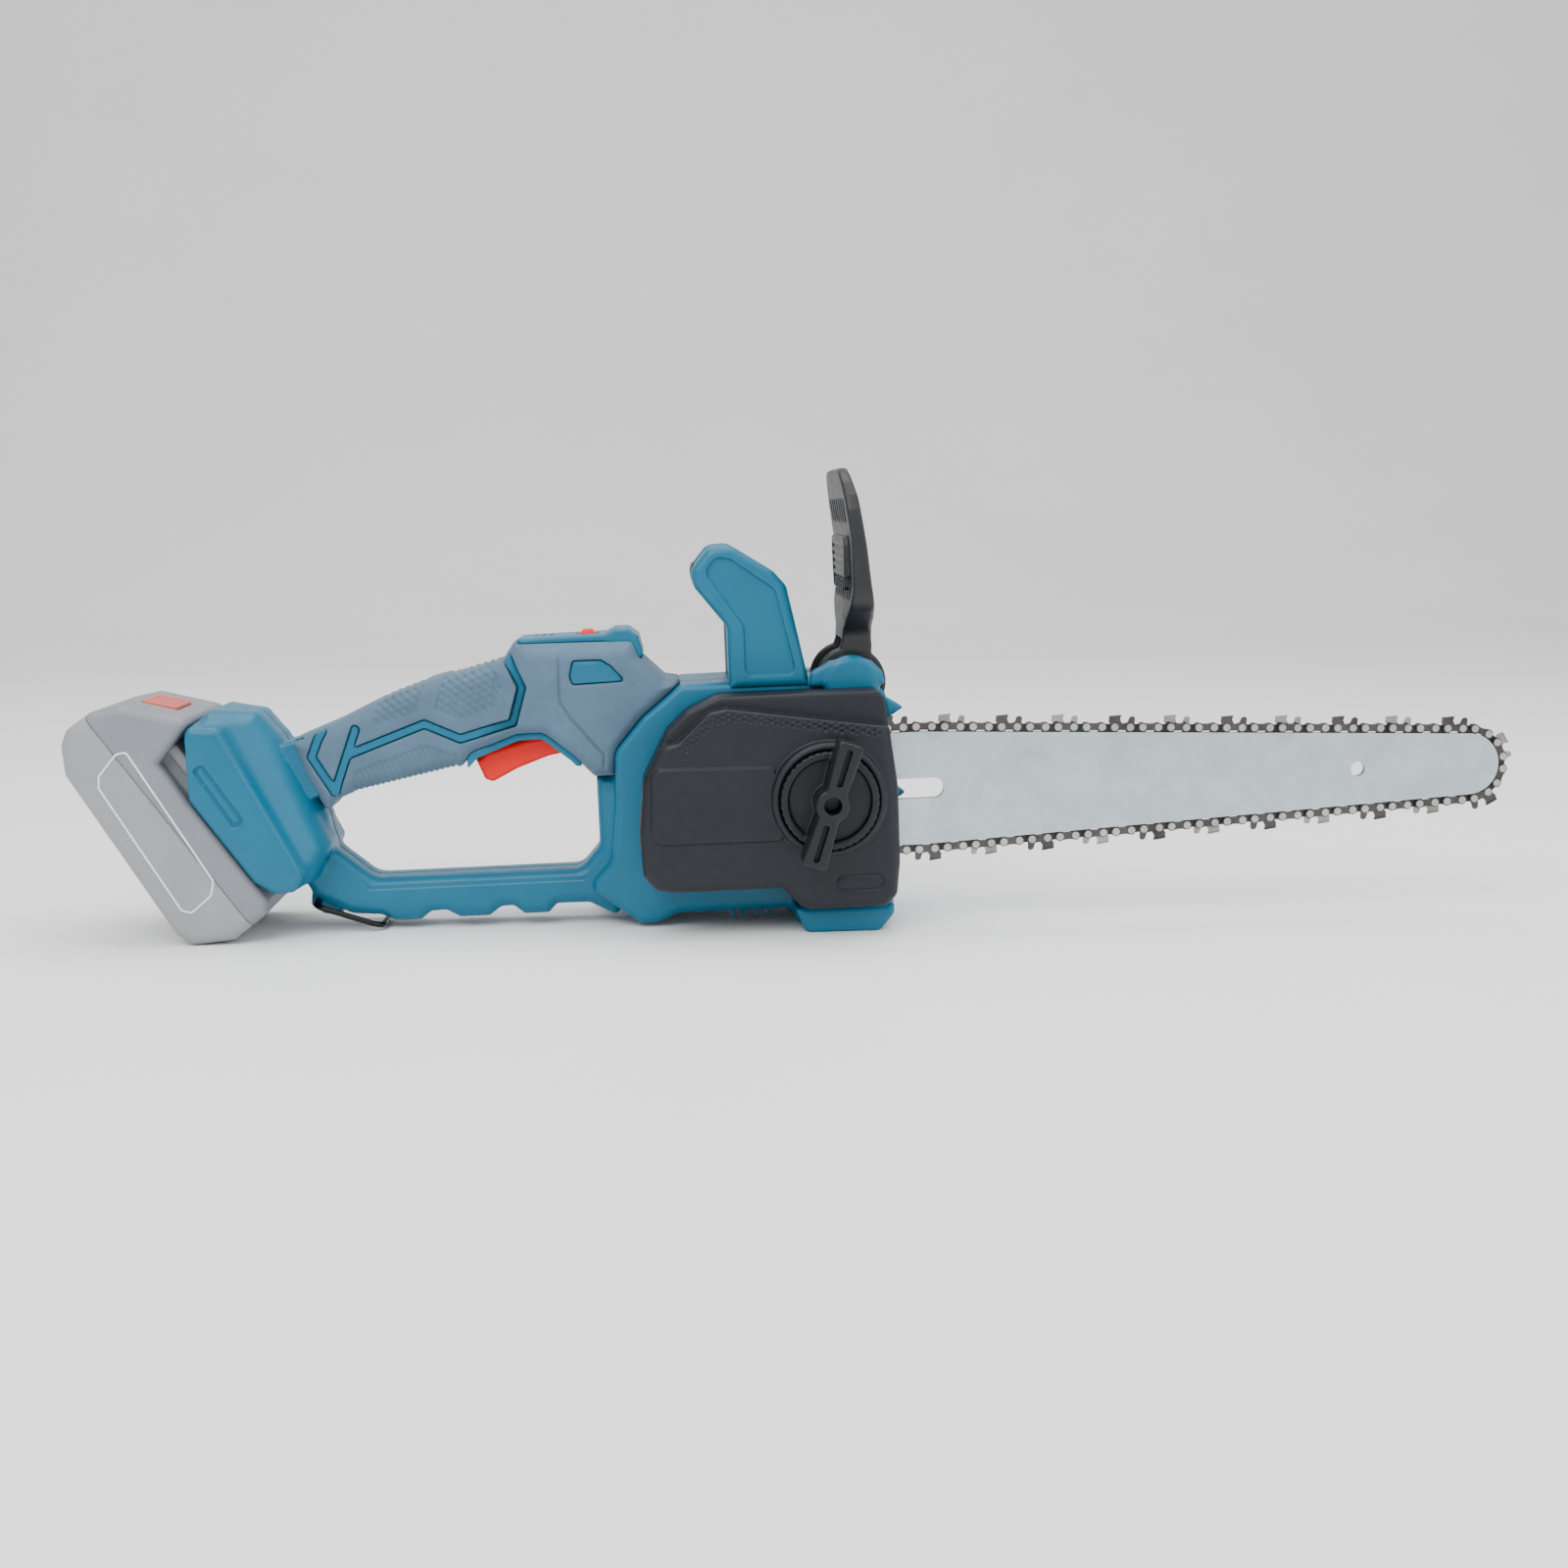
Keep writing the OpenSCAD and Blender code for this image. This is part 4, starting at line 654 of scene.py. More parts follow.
def add_foot(grid):
    """The battery's foot, narrowing towards its neck, with a blank recessed badge."""
    wide = grid.plate(in_battery(FOOT_WIDE), -FOOT_HALF, FOOT_HALF, 3.5)
    height = (grid.X - BATTERY_AT[0]) * math.sin(BATTERY_SLOPE)
    height = height + (grid.Z - BATTERY_AT[1]) * math.cos(BATTERY_SLOPE)
    half = np.interp(height, NECK_HEIGHTS, NECK_HALVES).astype(np.float32)
    side = grid.outline(in_battery(FOOT_NECK))[:, None, :] + NECK_EDGE
    across = (np.abs(grid.Y) - half[:, None, :]) * NECK_LEAN + NECK_EDGE
    outside = np.sqrt(np.maximum(side, 0) ** 2 + np.maximum(across, 0) ** 2)
    neck = outside - NECK_EDGE + np.minimum(np.maximum(side, across), 0)
    foot = smooth_min(wide, neck, 3)
    badge = grid.outline(FOOT_BADGE)
    foot = smooth_cut(foot, grid.slab(badge, -45, -37.3), 0.3)
    return smooth_cut(foot, grid.slab(np.abs(badge) - 0.5, -45, -36.4), 0.3)


def add_blue_accents(grid, solid):
    """Raised blue lines, windows, shoulder, fins and ring lug on the shell."""
    lines = np.maximum(zigzag(grid), grid.outline(GRIP) + 1.2)
    solid = np.minimum(solid, grid.slab(lines, -17.4, 17.4, 0.5))
    solid = np.minimum(solid, grid.plate(WINDOW, -21.2, 21.2, 0.8))
    solid = np.minimum(solid, grid.slab(trigger_lip(grid), -CORE_HALF, CORE_HALF, 0.8))
    solid = smooth_min(solid, grid.plate(SHOULDER, -27, -22.4, 2, 0.5), 1.5)
    fins, first, pitch, thick = 4, 7.0, 5.2, 1.1
    for i in range(fins):
        x = first + pitch * i
        fin = grid.outline(rectangle(x, x + thick, -57.2, -50))
        solid = np.minimum(solid, grid.slab(fin, -20, -6, 0.3))
    return smooth_min(solid, grid.plate(RING_LUG, -6, 6, 1.5), 1.5)


def cut_grooves(grid, solid):
    """The far side's raised rim line, and the groove inside the handle's loop."""
    rim = np.abs(grid.outline(BODY) + 16) - 0.6
    solid = smooth_cut(solid, grid.slab(rim, FAR_FACE - 0.6, 50), 0.5)
    groove = np.abs(grid.line(HANDLE_EDGE, 4.6)) - 0.55
    groove = np.maximum(groove, grid.outline(rectangle(-176, -58, -50, -4)))
    for y0, y1 in ((-16, -12.1), (12.1, 16)):
        solid = smooth_cut(solid, grid.slab(groove, y0, y1), 0.5)
    return solid


def cut_inside(grid, solid):
    """The hollow inside, with the screw towers left standing in it."""
    rooms = grid.plate(BODY_ROOM, NEAR_FACE + 2.6, FAR_FACE - 3.6)
    rooms = np.minimum(rooms, grid.plate(HANDLE_ROOM, -12.6, 12.6))
    rooms = np.minimum(rooms, grid.plate(in_battery(FOOT_ROOM), -22, 22))
    for x, z, face in SCREWS:
        start = -19.5 if face > 30 else -13
        tower = grid.rod((x, z), 5, start, min(face + 0.5, 41.6))
        rooms = np.maximum(rooms, -tower)
    return sharp_cut(solid, rooms)


def cut_screw_seats(grid, solid, screws):
    for x, z, face in screws:
        seat = grid.rod((x, z), SCREW_RECESS, face - SCREW_SINK, 60)
        solid = smooth_cut(solid, seat, 0.6)
    return solid


def cut_vents(grid, solid):
    """Seven slots on the far side, and four below the body."""
    for i in range(7):
        x = -21 + i * 7
        slot = grid.outline(rectangle(x, x + 3.4, -16, 16, 1.6))
        solid = smooth_cut(solid, grid.slab(slot, 38, 60), 0.6)
    for i in range(4):
        x = 6 + i * 5
        slot = grid.outline(rectangle(x, x + 2.2, -60, -49))
        solid = smooth_cut(solid, grid.slab(slot, -18, -8), 0.5)
    return solid


def cut_housing_holes(grid, solid):
    """Holes for the oil cap, sprocket, stud, tension screw, trigger, button and guard."""
    solid = smooth_cut(solid, grid.rod(OIL_CAP_AT, OIL_CAP_ROOM, 30, 60), 0.6)
    solid = sharp_cut(solid, grid.rod((0, 0), SPROCKET_ROOM, -30, -19))
    solid = sharp_cut(solid, grid.rod(STUD, STUD_ROOM, -40, -19))
    tensioner = grid.outline(rectangle(28, 60.5, -20.6, -13.4))
    solid = sharp_cut(solid, grid.slab(tensioner, -30.5, -20.8))
    solid = smooth_cut(solid, trigger_room(grid), 0.8)
    solid = sharp_cut(solid, button_room(grid))
    return smooth_cut(solid, guard_room(grid), 0.5)


def cut_battery_rails(grid, solid):
    """The open rails under the foot that the battery slides in."""
    mouth = grid.plate(in_battery(rectangle(-20, 62, -3, 5)), -27.6, 27.6)
    rails = grid.plate(in_battery(rectangle(-20, 62, 4.6, 10.4)), -30.6, 30.6)
    return smooth_cut(solid, np.minimum(mouth, rails), 0.5)


def build_housing():
    grid = Space(x=(-224, 90), y=(-42, 48), z=(-63, 72), step=0.75)
    solid = smooth_min(add_body(grid), add_foot(grid), 3)
    solid = np.minimum(solid, handle_core(grid))
    solid = add_blue_accents(grid, solid)
    solid = cut_grooves(grid, solid)
    solid = cut_inside(grid, solid)
    solid = cut_screw_seats(grid, solid, SCREWS)
    solid = cut_vents(grid, solid)
    solid = cut_housing_holes(grid, solid)
    solid = cut_battery_rails(grid, solid)
    solid = sharp_cut(solid, grid.rod(RING_PIN_AT, RING_PIN_ROOM, -8, 8))
    solid = sharp_cut(solid, cap_block(grid, 0.15))
    solid = np.maximum(solid, grid.above_ground())
    two_halves(solid, grid, ("housing_right", "housing_left"), M["blue"],
               "shell_", 0.02)


# ------------ soft grip
GRIP_HALF, GRIP_FRONT_HALF = 18.5, 21.5


def grip_textures(grid):
    """How much the grip's skin is lowered by its ribbed and knurled panels."""
    ribs = ridged(grid, 2.4, math.radians(22))
    ribbed = (0.3 + 0.9 * ribs) * panel(grid, grid.outline(RIB_PANEL))
    knurl = np.minimum(ridged(grid, 3.0, math.radians(50)), ridged(grid, 3.0, math.radians(-10)))
    knurled = np.minimum(grid.outline(KNURL_FRONT), grid.outline(KNURL_REAR))
    return ribbed + (1.1 - 1.5 * knurl) * panel(grid, knurled)


def build_grips():
    grid = Space(x=(-188, -8), y=(-24, 24), z=(-6, 75), step=0.55)
    solid = grid.plate(GRIP, -GRIP_HALF, GRIP_HALF, 7.5)
    front = grid.plate(GRIP_FRONT, -GRIP_FRONT_HALF, GRIP_FRONT_HALF, 4.5)
    solid = smooth_min(solid, front, 4) + grip_textures(grid)[:, None, :]
    solid = smooth_cut(solid, both_sides(grid, zigzag(grid, 0.3), 15, 30), 0.4)
    solid = smooth_cut(solid, grid.slab(grid.outline(WINDOW) - 0.3, -30, 30), 0.6)
    solid = sharp_cut(solid, grid.slab(trigger_lip(grid, 0.1), -CORE_HALF, CORE_HALF))
    solid = smooth_cut(solid, both_sides(grid, grid.line(CREASE, 0.5), 20.7, 30), 0.5)
    solid = sharp_cut(solid, handle_core(grid, 0.02))
    solid = sharp_cut(solid, body_block(grid, 0.25))
    solid = smooth_cut(solid, trigger_room(grid), 0.6)
    solid = sharp_cut(solid, button_room(grid))
    solid = smooth_cut(solid, cap_block(grid, 0.25), 0.4)
    solid = cut_screw_seats(grid, solid, SCREWS[FIRST_HANDLE_SCREW:])
    two_halves(solid, grid, ("grip_right", "grip_left"), M["grip"], "soft_", 0.01)


def build_cap():
    grid = Space(x=(-86, -24), y=(-18, 18), z=(57, 78), step=0.4)
    solid = cap_block(grid)
    window = grid.plate(rectangle(-57, -47.4, 60, 80, 1), -5.2, 5.2)
    solid = smooth_cut(solid, window, 0.6)
    for x in (-76, -72.5, -69):
        groove = grid.outline(rectangle(x, x + 1.2, 71.2, 80))
        solid = smooth_cut(solid, grid.slab(groove, -9, 9, 0.4), 0.4)
    piece("top_cap_shell", grid, solid, M["blue"], "housing", ["top_cap"])


# ------------ front handle
HANDLE_SEAM = 4.0
SLEEVE_ENDS = (-5.8, 27.8)


def build_front_handle():
    grid = Space(x=(-10, 50), y=(-27, 46), z=(44, 113), step=0.55)
    near = grid.plate(LOOP, -24, -6, 4, 3)
    near = smooth_cut(near, grid.plate(LOOP_PANEL, -30, -22.6), 0.7)
    far = grid.plate(LOOP, 28, 43, 3, 4)
    bar = grid.plate(CROSSBAR, -8, 32, 1)
    solid = smooth_min(smooth_min(near, bar, 1.5), far, 1.5)
    solid = sharp_cut(solid, body_block(grid, 0.1))
    piece("front_handle_near", grid, np.maximum(solid, grid.Y - HANDLE_SEAM), M["blue"],
          "housing", ["front_handle_right"])
    piece("front_handle_far", grid, np.maximum(solid, HANDLE_SEAM - grid.Y), M["blue"],
          "housing", ["front_handle_left"])
    piece("front_handle_sleeve", grid, handle_sleeve(grid), M["rubber"], "housing",
          ["front_handle_grip"])


def handle_sleeve(grid):
    """The ringed rubber sleeve round the crossbar, open at the top of the handle."""
    sleeve = grid.slab(grid.outline(CROSSBAR) - 2, *SLEEVE_ENDS, 0.8)
    rings = np.abs(((grid.Y / 3.2) % 1.0) - 0.5) * 2
    sleeve = sleeve + 0.5 * np.clip(rings * 3 - 2, 0, 1)
    top = grid.flat([(-12, 103), (40, 94), (40, 130), (-12, 130)])
    sleeve = smooth_cut(sleeve, grid.slab(top, -10, 40), 0.6)
    return np.maximum(sleeve, -grid.plate(CROSSBAR, -10, 40))


# ------------ cover and knob
COVER_WALL, STEP_FACE = 2.6, -45.5
RING_R, DISH_R, BOSS_R, BORE_R = 25.0, 21.8, 13.0, 3.4
DOT_PITCH, DOT_R = 2.3, 0.72


def cover_dots(grid):
    """Small dimples in staggered rows along the cover's edge band."""
    x = np.abs((grid.X / DOT_PITCH) % 1.0 - 0.5) * DOT_PITCH
    stagger = (np.floor(grid.X / DOT_PITCH) % 2) * DOT_PITCH / 2
    z = np.abs(((grid.Z + stagger) / DOT_PITCH) % 1.0 - 0.5) * DOT_PITCH
    return np.maximum(np.sqrt(x ** 2 + z ** 2) - DOT_R, grid.outline(COVER_DOTS))


def cover_room(grid, side):
    """The hollow behind the cover's face, kept one wall below the step."""
    room = grid.slab(side + COVER_WALL, COVER_FACE + COVER_WALL, -10)
    step = grid.slab(grid.outline(COVER_STEP) - COVER_WALL, -60, STEP_FACE + COVER_WALL)
    boss = grid.rod(STUD, BOSS_R, -60, -32.9)
    return np.maximum(np.maximum(room, -step), -boss)


def build_cover():
    grid = Space(x=(-35, 84), y=(-60, -20), z=(-52, 49), step=0.5)
    side = grid.outline(COVER)
    solid = grid.slab(side, COVER_FACE, NEAR_FACE - 0.3, 5, 0.6)
    # the top band steps back from the face
    solid = smooth_cut(solid, grid.plate(COVER_STEP, -60, STEP_FACE), 2.2)
    solid = smooth_cut(solid, grid.slab(cover_dots(grid), -60, COVER_FACE + 0.7), 0.3)
    solid = smooth_min(solid, grid.rod(STUD, RING_R, -57, -48, 2.2), 1.0)
    badge = grid.plate(BADGE, COVER_FACE - 1.2, -48, 0.9)
    solid = smooth_min(solid, badge, 0.5)
    # outlined slot low on the cover, left blank
    slot = np.abs(grid.outline(rectangle(52, 72.5, -40.6, -34.2, 3))) - 0.35
    solid = smooth_cut(solid, grid.slab(slot, -60, COVER_FACE + 0.6), 0.3)
    solid = sharp_cut(solid, cover_room(grid, side))
    solid = smooth_cut(solid, grid.rod(STUD, DISH_R, -70, -54), 0.6)
    solid = sharp_cut(solid, grid.rod(STUD, BORE_R, -70, -10))
    # the mouth for the bar and chain, and the room for the guard's hub
    mouth = grid.plate(rectangle(70, 95, -37, 37, 2), -37, -10)
    solid = smooth_cut(solid, mouth, 0.8)
    solid = smooth_cut(solid, grid.rod(GUARD_HUB, 13, -28.6, -10), 0.5)
    piece("cover_shell", grid, solid, M["cover"], "housing",
          ["sprocket_cover"], 0.01)


KNOB_R, KNOB_SCALLOPS = 21.3, 40
WING_TURN = math.radians(71)
WING = [(-27.5, -5.6, 1.8), (-9, -4.6, 8), (0, -4.2, 3), (9, -4.6, 8), (27.5, -5.6, 1.8),
        (27.5, 5.6, 1.8), (9, 4.6, 8), (0, 4.2, 3), (-9, 4.6, 8), (-27.5, 5.6, 1.8)]
SLOT_MIDDLE, SLOT_HALF, SLOT_HALF_WIDTH = 16.75, 8.25, 1.1
KNOB_TOP = 74.9


def build_knob():
    grid = Space(x=(20, 80), y=(-77, -52), z=(-30, 30), step=0.35)
    rim = grid.circle(STUD, KNOB_R)
    angle = np.arctan2(grid.Z - STUD[1], grid.X - STUD[0])
    scallop = 0.35 * np.clip(np.cos(angle * KNOB_SCALLOPS) * 2 - 0.6, 0, 1)
    solid = grid.slab(rim + scallop, -60, -54.4, 0.8)
    solid = smooth_cut(solid, grid.rod(STUD, 17.7, -70, -56.8), 1.2)
    wings = grid.plate(turned(WING, STUD, WING_TURN), -75, -56, 1.4, 0)
    wings = np.maximum(wings, -grid.slab(0.5 - rim, -59.8, -40))
    solid = smooth_min(solid, wings, 1.0)
    solid = smooth_min(solid, grid.rod(STUD, 7.2, -74.6, -56, 1.2), 0.8)
    solid = smooth_cut(solid, grid.rod(STUD, 3.75, -80, -50), 0.4)
    solid = sharp_cut(solid, grid.rod(STUD, 5.8, -62, -50))
    for side in (-1, 1):
        middle = side * SLOT_MIDDLE
        slot = rectangle(middle - SLOT_HALF, middle + SLOT_HALF, -SLOT_HALF_WIDTH,
                         SLOT_HALF_WIDTH, 1)
        slot = grid.outline(turned(slot, STUD, WING_TURN))
        solid = smooth_cut(solid, grid.slab(slot, -80, -71), 0.4)
    solid = np.maximum(solid, -KNOB_TOP - grid.Y)
    piece("knob_shell", grid, solid, M["knob"], "knob", ["cover_knob"])


# ------------ hand guard
GUARD_HALF, GUARD_TOP, GUARD_EDGE = 48.0, 142.5, 1.6
GUARD_FRONT = [(-19.2, 56, 1), (19.2, 56, 1), (20.2, 70, 6), (GUARD_HALF, 82, 10),
               (GUARD_HALF, GUARD_TOP, 26), (-GUARD_HALF, GUARD_TOP, 26),
               (-GUARD_HALF, 82, 10), (-20.2, 70, 6)]
PAD_FRONT = [(-30, 88, 5), (30, 88, 5), (34, 112, 5), (-34, 112, 5)]
ARM_SIDE = [(60, 50), (73, 50), (73.5, 64), (60, 64)]
ARM_REACH = (14.0, 19.2)
SLOT_ROWS, SLOT_COUNT, SLOT_PITCH, SLOT_WIDTH, SLOT_HEIGHT = (84, 118), 7, 11, 6, 10


def seen_from_front(grid, outline):
    """Distance to an outline in Y and Z, the same all along X."""
    return grid.flat(rounded(outline), grid.y[:, None], grid.z[None, :])[None, :, :]


def guard_plate(grid):
    """The guard's side view and front view crossed, with rounded edges."""
    side = grid.outline(GUARD_SIDE)[:, None, :] + GUARD_EDGE
    front = seen_from_front(grid, GUARD_FRONT) + GUARD_EDGE
    inside = np.minimum(np.maximum(side, front), 0)
    return inside + np.sqrt(np.maximum(side, 0) ** 2 + np.maximum(front, 0) ** 2) - GUARD_EDGE


def add_ribbed_pad(grid, solid):
    """The raised pad with level ribs on the face towards the hand."""
    pad = seen_from_front(grid, PAD_FRONT)
    x = grid.X[:, :, None]
    solid = smooth_min(solid, np.maximum(np.maximum(pad, 61.4 - x), x - 66), 0.8)
    rib = np.abs((grid.z[None, None, :] / 3.4) % 1.0 - 0.5) * 3.4 - 0.9
    return smooth_cut(solid, np.maximum(np.maximum(rib, pad + 3), x - 62.4), 0.4)


def build_guard():
    grid = Space(x=(44, 84), y=(-51, 51), z=(28, 145), step=0.6)
    solid = add_ribbed_pad(grid, guard_plate(grid))
    inner, outer = ARM_REACH
    for y0, y1 in ((-outer, -inner), (inner, outer)):
        solid = smooth_min(solid, grid.rod(GUARD_HUB, GUARD_HUB_R, y0, y1, 1), 1)
        solid = smooth_min(solid, grid.slab(grid.flat(ARM_SIDE), y0, y1, 0.8), 1)
    solid = sharp_cut(solid, grid.rod(GUARD_HUB, 3.05, -30, 30))
    window = grid.plate(rectangle(40, 90, 20, 66), -inner, inner)
    solid = smooth_cut(solid, window, 0.8)
    for z in SLOT_ROWS:
        for k in range(SLOT_COUNT):
            y = (k - SLOT_COUNT // 2) * SLOT_PITCH
            slot = rectangle(y - SLOT_WIDTH / 2, y + SLOT_WIDTH / 2, z, z + SLOT_HEIGHT, 1.5)
            solid = smooth_cut(solid, seen_from_front(grid, slot), 0.8)
    piece("guard_shell", grid, solid, M["black"], "guard", ["hand_guard"])


# ------------ buttons and trigger
TRIGGER_PIN_AT, TRIGGER_PIN_ROOM = (-60, 25), 1.55


def build_trigger():
    grid = Space(x=(-108, -52), y=(-9, 9), z=(4, 33), step=0.3)
    side = grid.outline(TRIGGER)
    solid = grid.slab(side, -7, 7, 2.8)
    ribs = ridged(grid, 2.2, math.radians(20))
    zone = ((grid.X > -98) & (grid.X < -74)) * np.clip((side + 2) / 1.5, 0, 1)
    solid = solid + (0.25 * ribs * zone)[:, None, :] * (np.abs(grid.Y) < 4.5)
    pin = grid.rod(TRIGGER_PIN_AT, TRIGGER_PIN_ROOM, -10, 10)
    solid = sharp_cut(solid, pin)
    piece("trigger_shell", grid, solid, M["red"], "trigger", ["trigger"])


def build_lock_button():
    grid = Space(x=(-59, -45), y=(-7, 7), z=(60, 77), step=0.3)
    stem = grid.plate(rectangle(-56.2, -48.2, 62.6, 72.9, 0.8), -4.4, 4.4, 0.8)
    crown = [(-55.6, 72, 0.3), (-48.9, 72, 0.3), (-50, 74.1, 1), (-54, 74.1, 1)]
    solid = smooth_min(stem, grid.plate(crown, -3.8, 3.8, 0.8), 0.8)
    piece("lock_button_shell", grid, solid, M["red"], "lock_button",
          ["lock_button"])


# ------------ battery
BATTERY_HALF, BATTERY_SEAM = 37.5, 12.0
CONTACT_ROWS, CONTACT_HALF = (-17, -6, 6, 17), 1.2
REAR_RIBS, REAR_RIB_PITCH = 5, 7


def at_button(outline):
    """An outline about the release button's middle, in the bar's X and Z."""
    return in_battery(turned(outline, BUTTON_AT, -BUTTON_TURN))


def battery_block(grid):
    """The battery's case with its two rails."""
    solid = grid.plate(in_battery(BATTERY), -BATTERY_HALF, BATTERY_HALF, 4.5)
    neck = grid.outline(in_battery(rectangle(-3, 52, -1, 6)))
    rails = grid.outline(in_battery(rectangle(-3, 52, 5, 9.8, 0.6)))
    solid = np.minimum(solid, grid.slab(neck, -27, 27, 0.4))
    return np.minimum(solid, grid.slab(rails, -30, 30, 0.6))


def battery_room(grid):
    """The hollow inside the case, open at the contacts."""
    room = grid.plate(in_battery(BATTERY_ROOM), -35.2, 35.2)
    above = grid.outline(in_battery(rectangle(0, 50, -4, 4)))
    room = np.minimum(room, grid.slab(above, -24, 24))
    blades = grid.outline(in_battery(rectangle(30, 60, 1.6, 8.4)))
    for y in CONTACT_ROWS:
        room = np.minimum(room, grid.slab(blades, y - CONTACT_HALF, y + CONTACT_HALF))
    return room


def build_battery():
    grid = Space(x=(-281, -172), y=(-40, 40), z=(-61, 55), step=0.7)
    solid = np.maximum(battery_block(grid), -battery_room(grid))
    pocket = grid.outline(at_button(rectangle(-8, 8, -6, 6, 0.5)))
    solid = smooth_cut(solid, grid.slab(pocket, -13.5, 13.5), 0.6)
    # grip ribs low on the rear wall
    for k in range(REAR_RIBS):
        u = 6 + REAR_RIB_PITCH * k
        rib = grid.outline(in_battery(rectangle(u, u + 2.4, -44, -35.4, 0.5)))
        solid = smooth_cut(solid, grid.slab(rib, -26, 26, 0.5), 0.6)
    solid = np.maximum(solid, grid.above_ground())
    height = (grid.X - BATTERY_AT[0]) * math.sin(BATTERY_SLOPE)
    height = height + (grid.Z - BATTERY_AT[1]) * math.cos(BATTERY_SLOPE)
    above_seam = (height + BATTERY_SEAM)[:, None, :]
    piece("battery_lower_case", grid, smooth_cut(solid, -above_seam, 0.6), M["battery"],
          "battery", ["battery_lower_shell"], 0.01)
    piece("battery_upper_case", grid, smooth_cut(solid, above_seam, 0.6), M["battery_top"],
          "battery", ["battery_upper_shell"], 0.01)


def build_label_frame():
    """Thin raised frame of the blank label on the battery's near side."""
    grid = Space(x=(-281, -172), y=(-39, -36), z=(-61, 55), step=0.4)
    frame_line = grid.slab(np.abs(grid.outline(LABEL)) - 0.45, -37.85, -37.0)
    piece("label_frame", grid, frame_line, M["label"], "battery", [])


def build_battery_button():
    grid = Space(x=(-262, -222), y=(-15, 15), z=(30, 56), step=0.35)
    block = grid.outline(at_button(rectangle(-7.6, 7.6, -0.5, 3.5, 0.9)))
    solid = grid.slab(block, -13.1, 13.1, 1)
    for i in range(-2, 3):
        x = i * 2.6
        groove = grid.outline(at_button(rectangle(x - 0.5, x + 0.5, 2.9, 5, 0.2)))
        solid = smooth_cut(solid, grid.slab(groove, -11, 11), 0.4)
    piece("battery_button_shell", grid, solid, M["release"], "battery_button",
          ["battery_button"])


# ------------ camera, floor and light
AZIMUTH, ELEVATION, ROLL = -4.5, 8.0, -0.492
DISTANCE, LENS, SENSOR, SHIFT = 0.9, 45.12612, 36.0, (-0.03, -0.0015)
LOOK_AT = (55.0, 0.0, 0.0)


def build_camera():
    azimuth, elevation, roll = (math.radians(a) for a in (AZIMUTH, ELEVATION, ROLL))
    back = Vector((math.sin(azimuth) * math.cos(elevation),
                   -math.cos(azimuth) * math.cos(elevation), math.sin(elevation)))
    right = Vector((math.cos(azimuth), math.sin(azimuth), 0.0))
    up = back.cross(right)
    across = right * math.cos(roll) + up * math.sin(roll)
    upward = up * math.cos(roll) - right * math.sin(roll)
    target = Vector(place([LOOK_AT])[0])
    data = bpy.data.cameras.new("camera")
    data.sensor_width, data.lens = SENSOR, LENS
    data.shift_x, data.shift_y = SHIFT
    data.clip_start, data.clip_end = 0.05, 50.0
    camera = bpy.data.objects.new("camera", data)
    bpy.context.scene.collection.objects.link(camera)
    turn = Matrix((across, upward, back)).transposed().to_4x4()
    camera.matrix_world = Matrix.Translation(target + back * DISTANCE) @ turn
    bpy.context.scene.camera = camera


def area_light(name, position, target, size, power):
    data = bpy.data.lights.new(name, "AREA")
    data.shape = "RECTANGLE"
    data.size, data.size_y = size
    data.energy = power
    light = bpy.data.objects.new(name, data)
    bpy.context.scene.collection.objects.link(light)
    light.location = position
    aim = Vector(target) - Vector(position)
    light.rotation_euler = aim.to_track_quat("-Z", "Y").to_euler()


FLOOR_TONES = (0.88, 0.91)
FLOOR_HALF, FLOOR_RISE, FLOOR_DROP = 6.0, 5.0, 0.0003
BEND_START, BEND_R, BEND_STEPS = 1.6, 1.2, 12


def floor_material():
    mat, tree, shader = new_material("pale_floor")
    tone = noise(tree, 3.0, 3.0)
    dark, light = ((t, t, t, 1) for t in FLOOR_TONES)
    tree.links.new(ramp(tree, tone, [(NOISE_LOW, dark), (NOISE_HIGH, light)]),
                   shader.inputs["Base Color"])
    tree.links.new(spread(tree, tone, 0.55, 0.65), shader.inputs["Roughness"])
    return mat


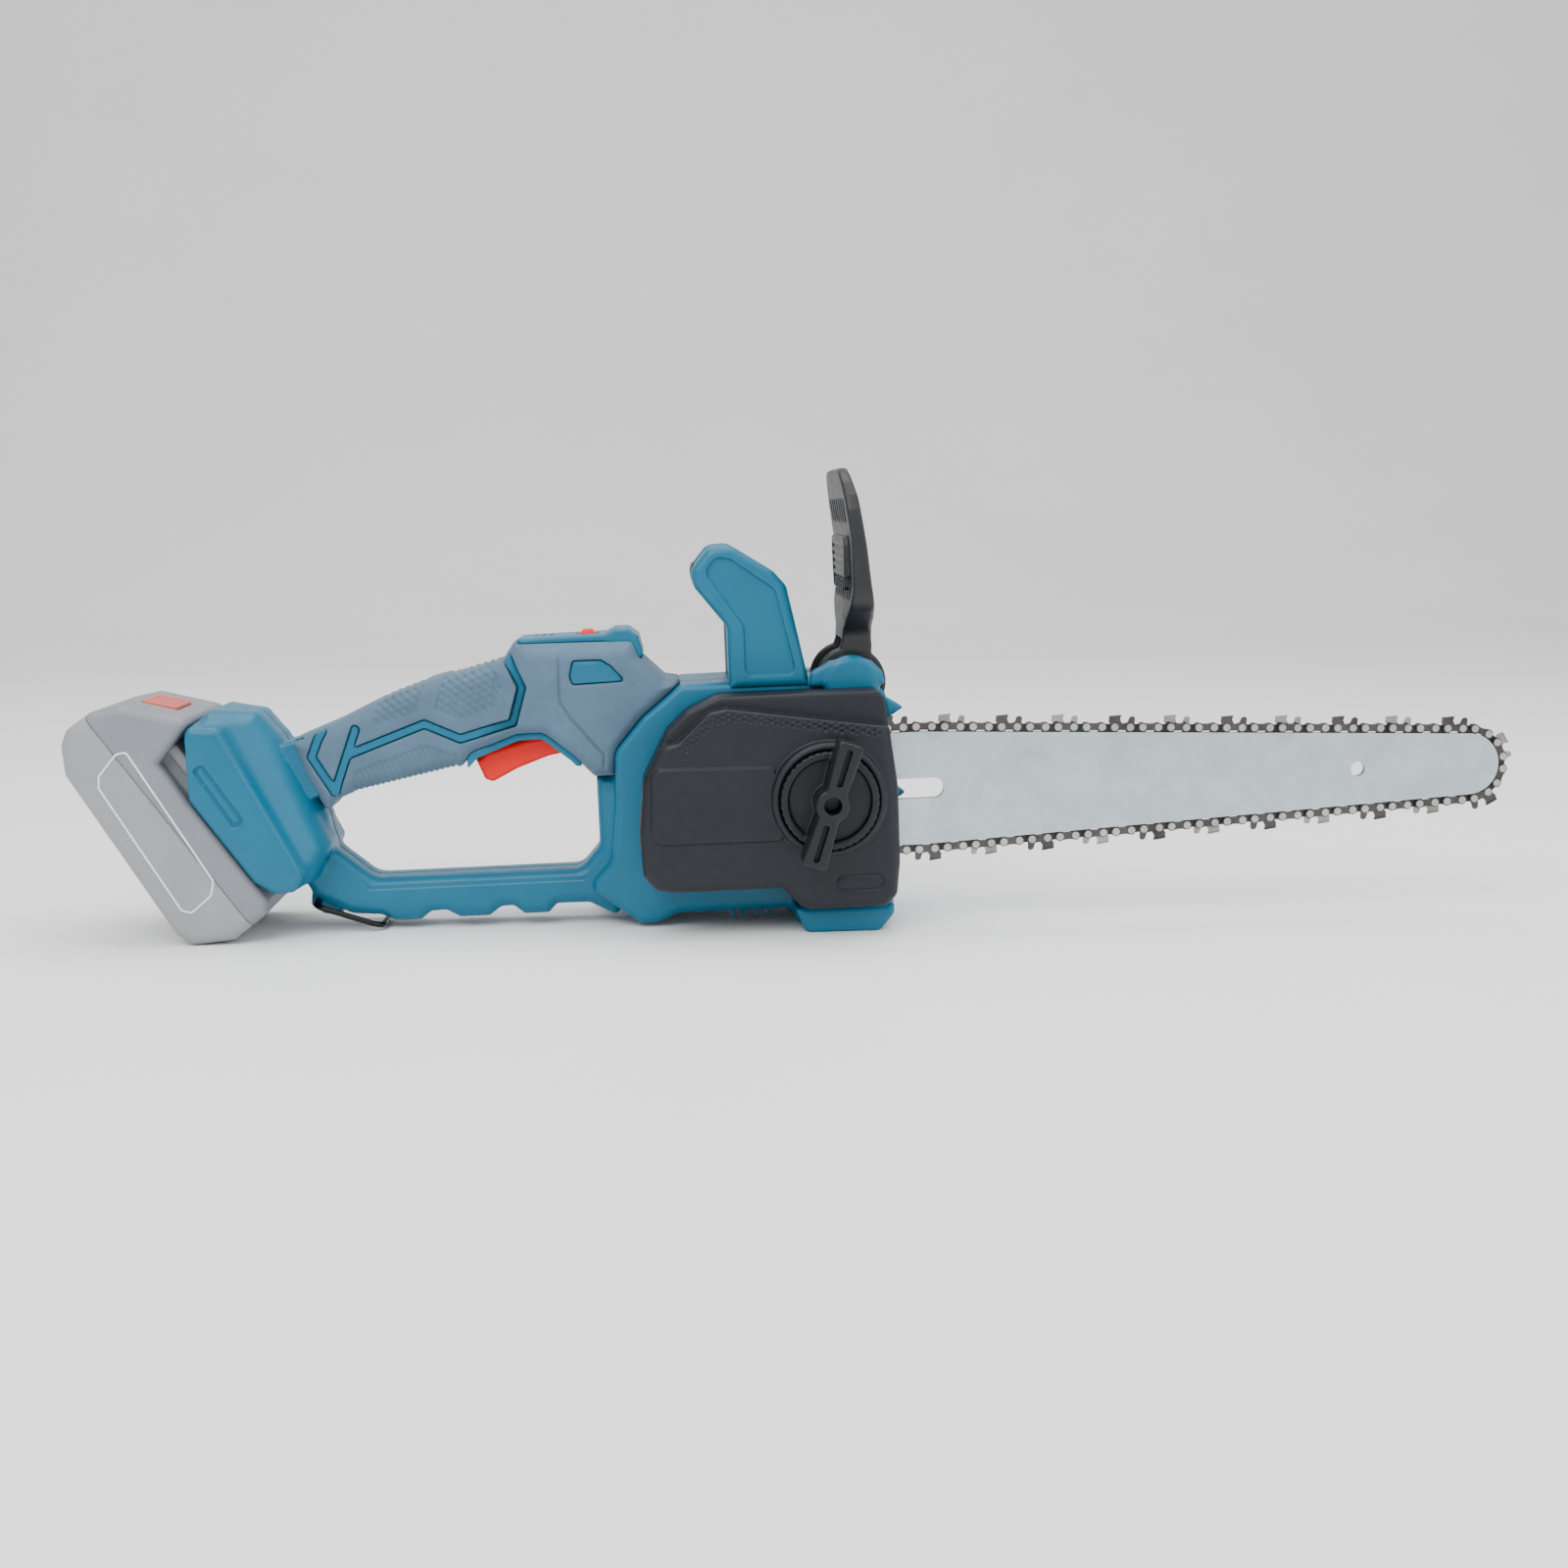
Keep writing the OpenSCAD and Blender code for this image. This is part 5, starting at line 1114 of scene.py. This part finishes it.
def build_floor():
    """A floor that bends up into a backdrop behind the saw."""
    rows = [(-FLOOR_HALF, 0.0)]
    for i in range(BEND_STEPS + 1):
        t = i * math.pi / 2 / BEND_STEPS
        rows.append((BEND_START + BEND_R * math.sin(t), BEND_R - BEND_R * math.cos(t)))
    rows.append((BEND_START + BEND_R, FLOOR_RISE))
    points = [(x, y, z) for y, z in rows for x in (-FLOOR_HALF, FLOOR_HALF)]
    faces = [(2 * i, 2 * i + 1, 2 * i + 3, 2 * i + 2) for i in range(len(rows) - 1)]
    mesh = bpy.data.meshes.new("floor")
    mesh.from_pydata(points, [], faces)
    mesh.polygons.foreach_set("use_smooth", [True] * len(mesh.polygons))
    mesh.materials.append(floor_material())
    floor = bpy.data.objects.new("floor", mesh)
    floor.location.z = -FLOOR_DROP
    bpy.context.scene.collection.objects.link(floor)


def build_lights():
    """A white room and three soft panels: key, fill and top."""
    world = bpy.data.worlds.new("studio")
    world.use_nodes = True
    background = world.node_tree.nodes["Background"]
    background.inputs["Color"].default_value = (1.0, 1.0, 1.0, 1.0)
    background.inputs["Strength"].default_value = 0.8
    bpy.context.scene.world = world
    area_light("key", (-0.7, -1.3, 1.5), (0, 0, 0.05), (1.6, 1.2), 34.0)
    area_light("fill", (1.4, -0.9, 0.9), (0.1, 0, 0.05), (1.2, 1.2), 12.0)
    area_light("top", (0.1, 0.2, 1.7), (0, 0, 0.05), (2.0, 1.2), 30.0)


# ------------ chain and springs
JOINTS = {joint["name"]: joint for joint in frame["record"]["behaviour"]["joints"]}
CHAIN_NODES = ("chain_drive_links", "chain_tie_straps", "chain_cutters_right",
               "chain_cutters_left", "chain_rivets")


def copy_of(node, name):
    """A piece with a copy of a CAD node's own mesh, standing in for the node, which is hidden."""
    obj = bpy.data.objects.new(name, NODES[node].data.copy())
    bpy.context.scene.collection.objects.link(obj)
    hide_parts(node)
    return obj


def build_chain():
    """Copies of the chain's nodes, each with its placement baked into its mesh."""
    for node in CHAIN_NODES:
        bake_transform(copy_of(node, node + "_loop"))


def build_spring(node, body, push):
    """A copy of a spring's node, riding the body."""
    push = Vector(push).normalized()
    obj = copy_of(node, node + "_coil")
    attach(obj, body)
    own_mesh(obj)


def build_springs():
    press = Vector(JOINTS["lock_button_press"]["axis"])
    build_spring("lock_spring", "housing", press)
    build_spring("trigger_spring", "housing", -press)
    build_spring("button_spring", "battery",
                 JOINTS["battery_button_press"]["axis"])


build_camera()
build_floor()
build_lights()
dress_cad_nodes()
build_housing()
build_grips()
build_cap()
build_front_handle()
build_cover()
build_knob()
build_guard()
build_trigger()
build_lock_button()
build_battery()
build_label_frame()
build_battery_button()
build_chain()
build_springs()
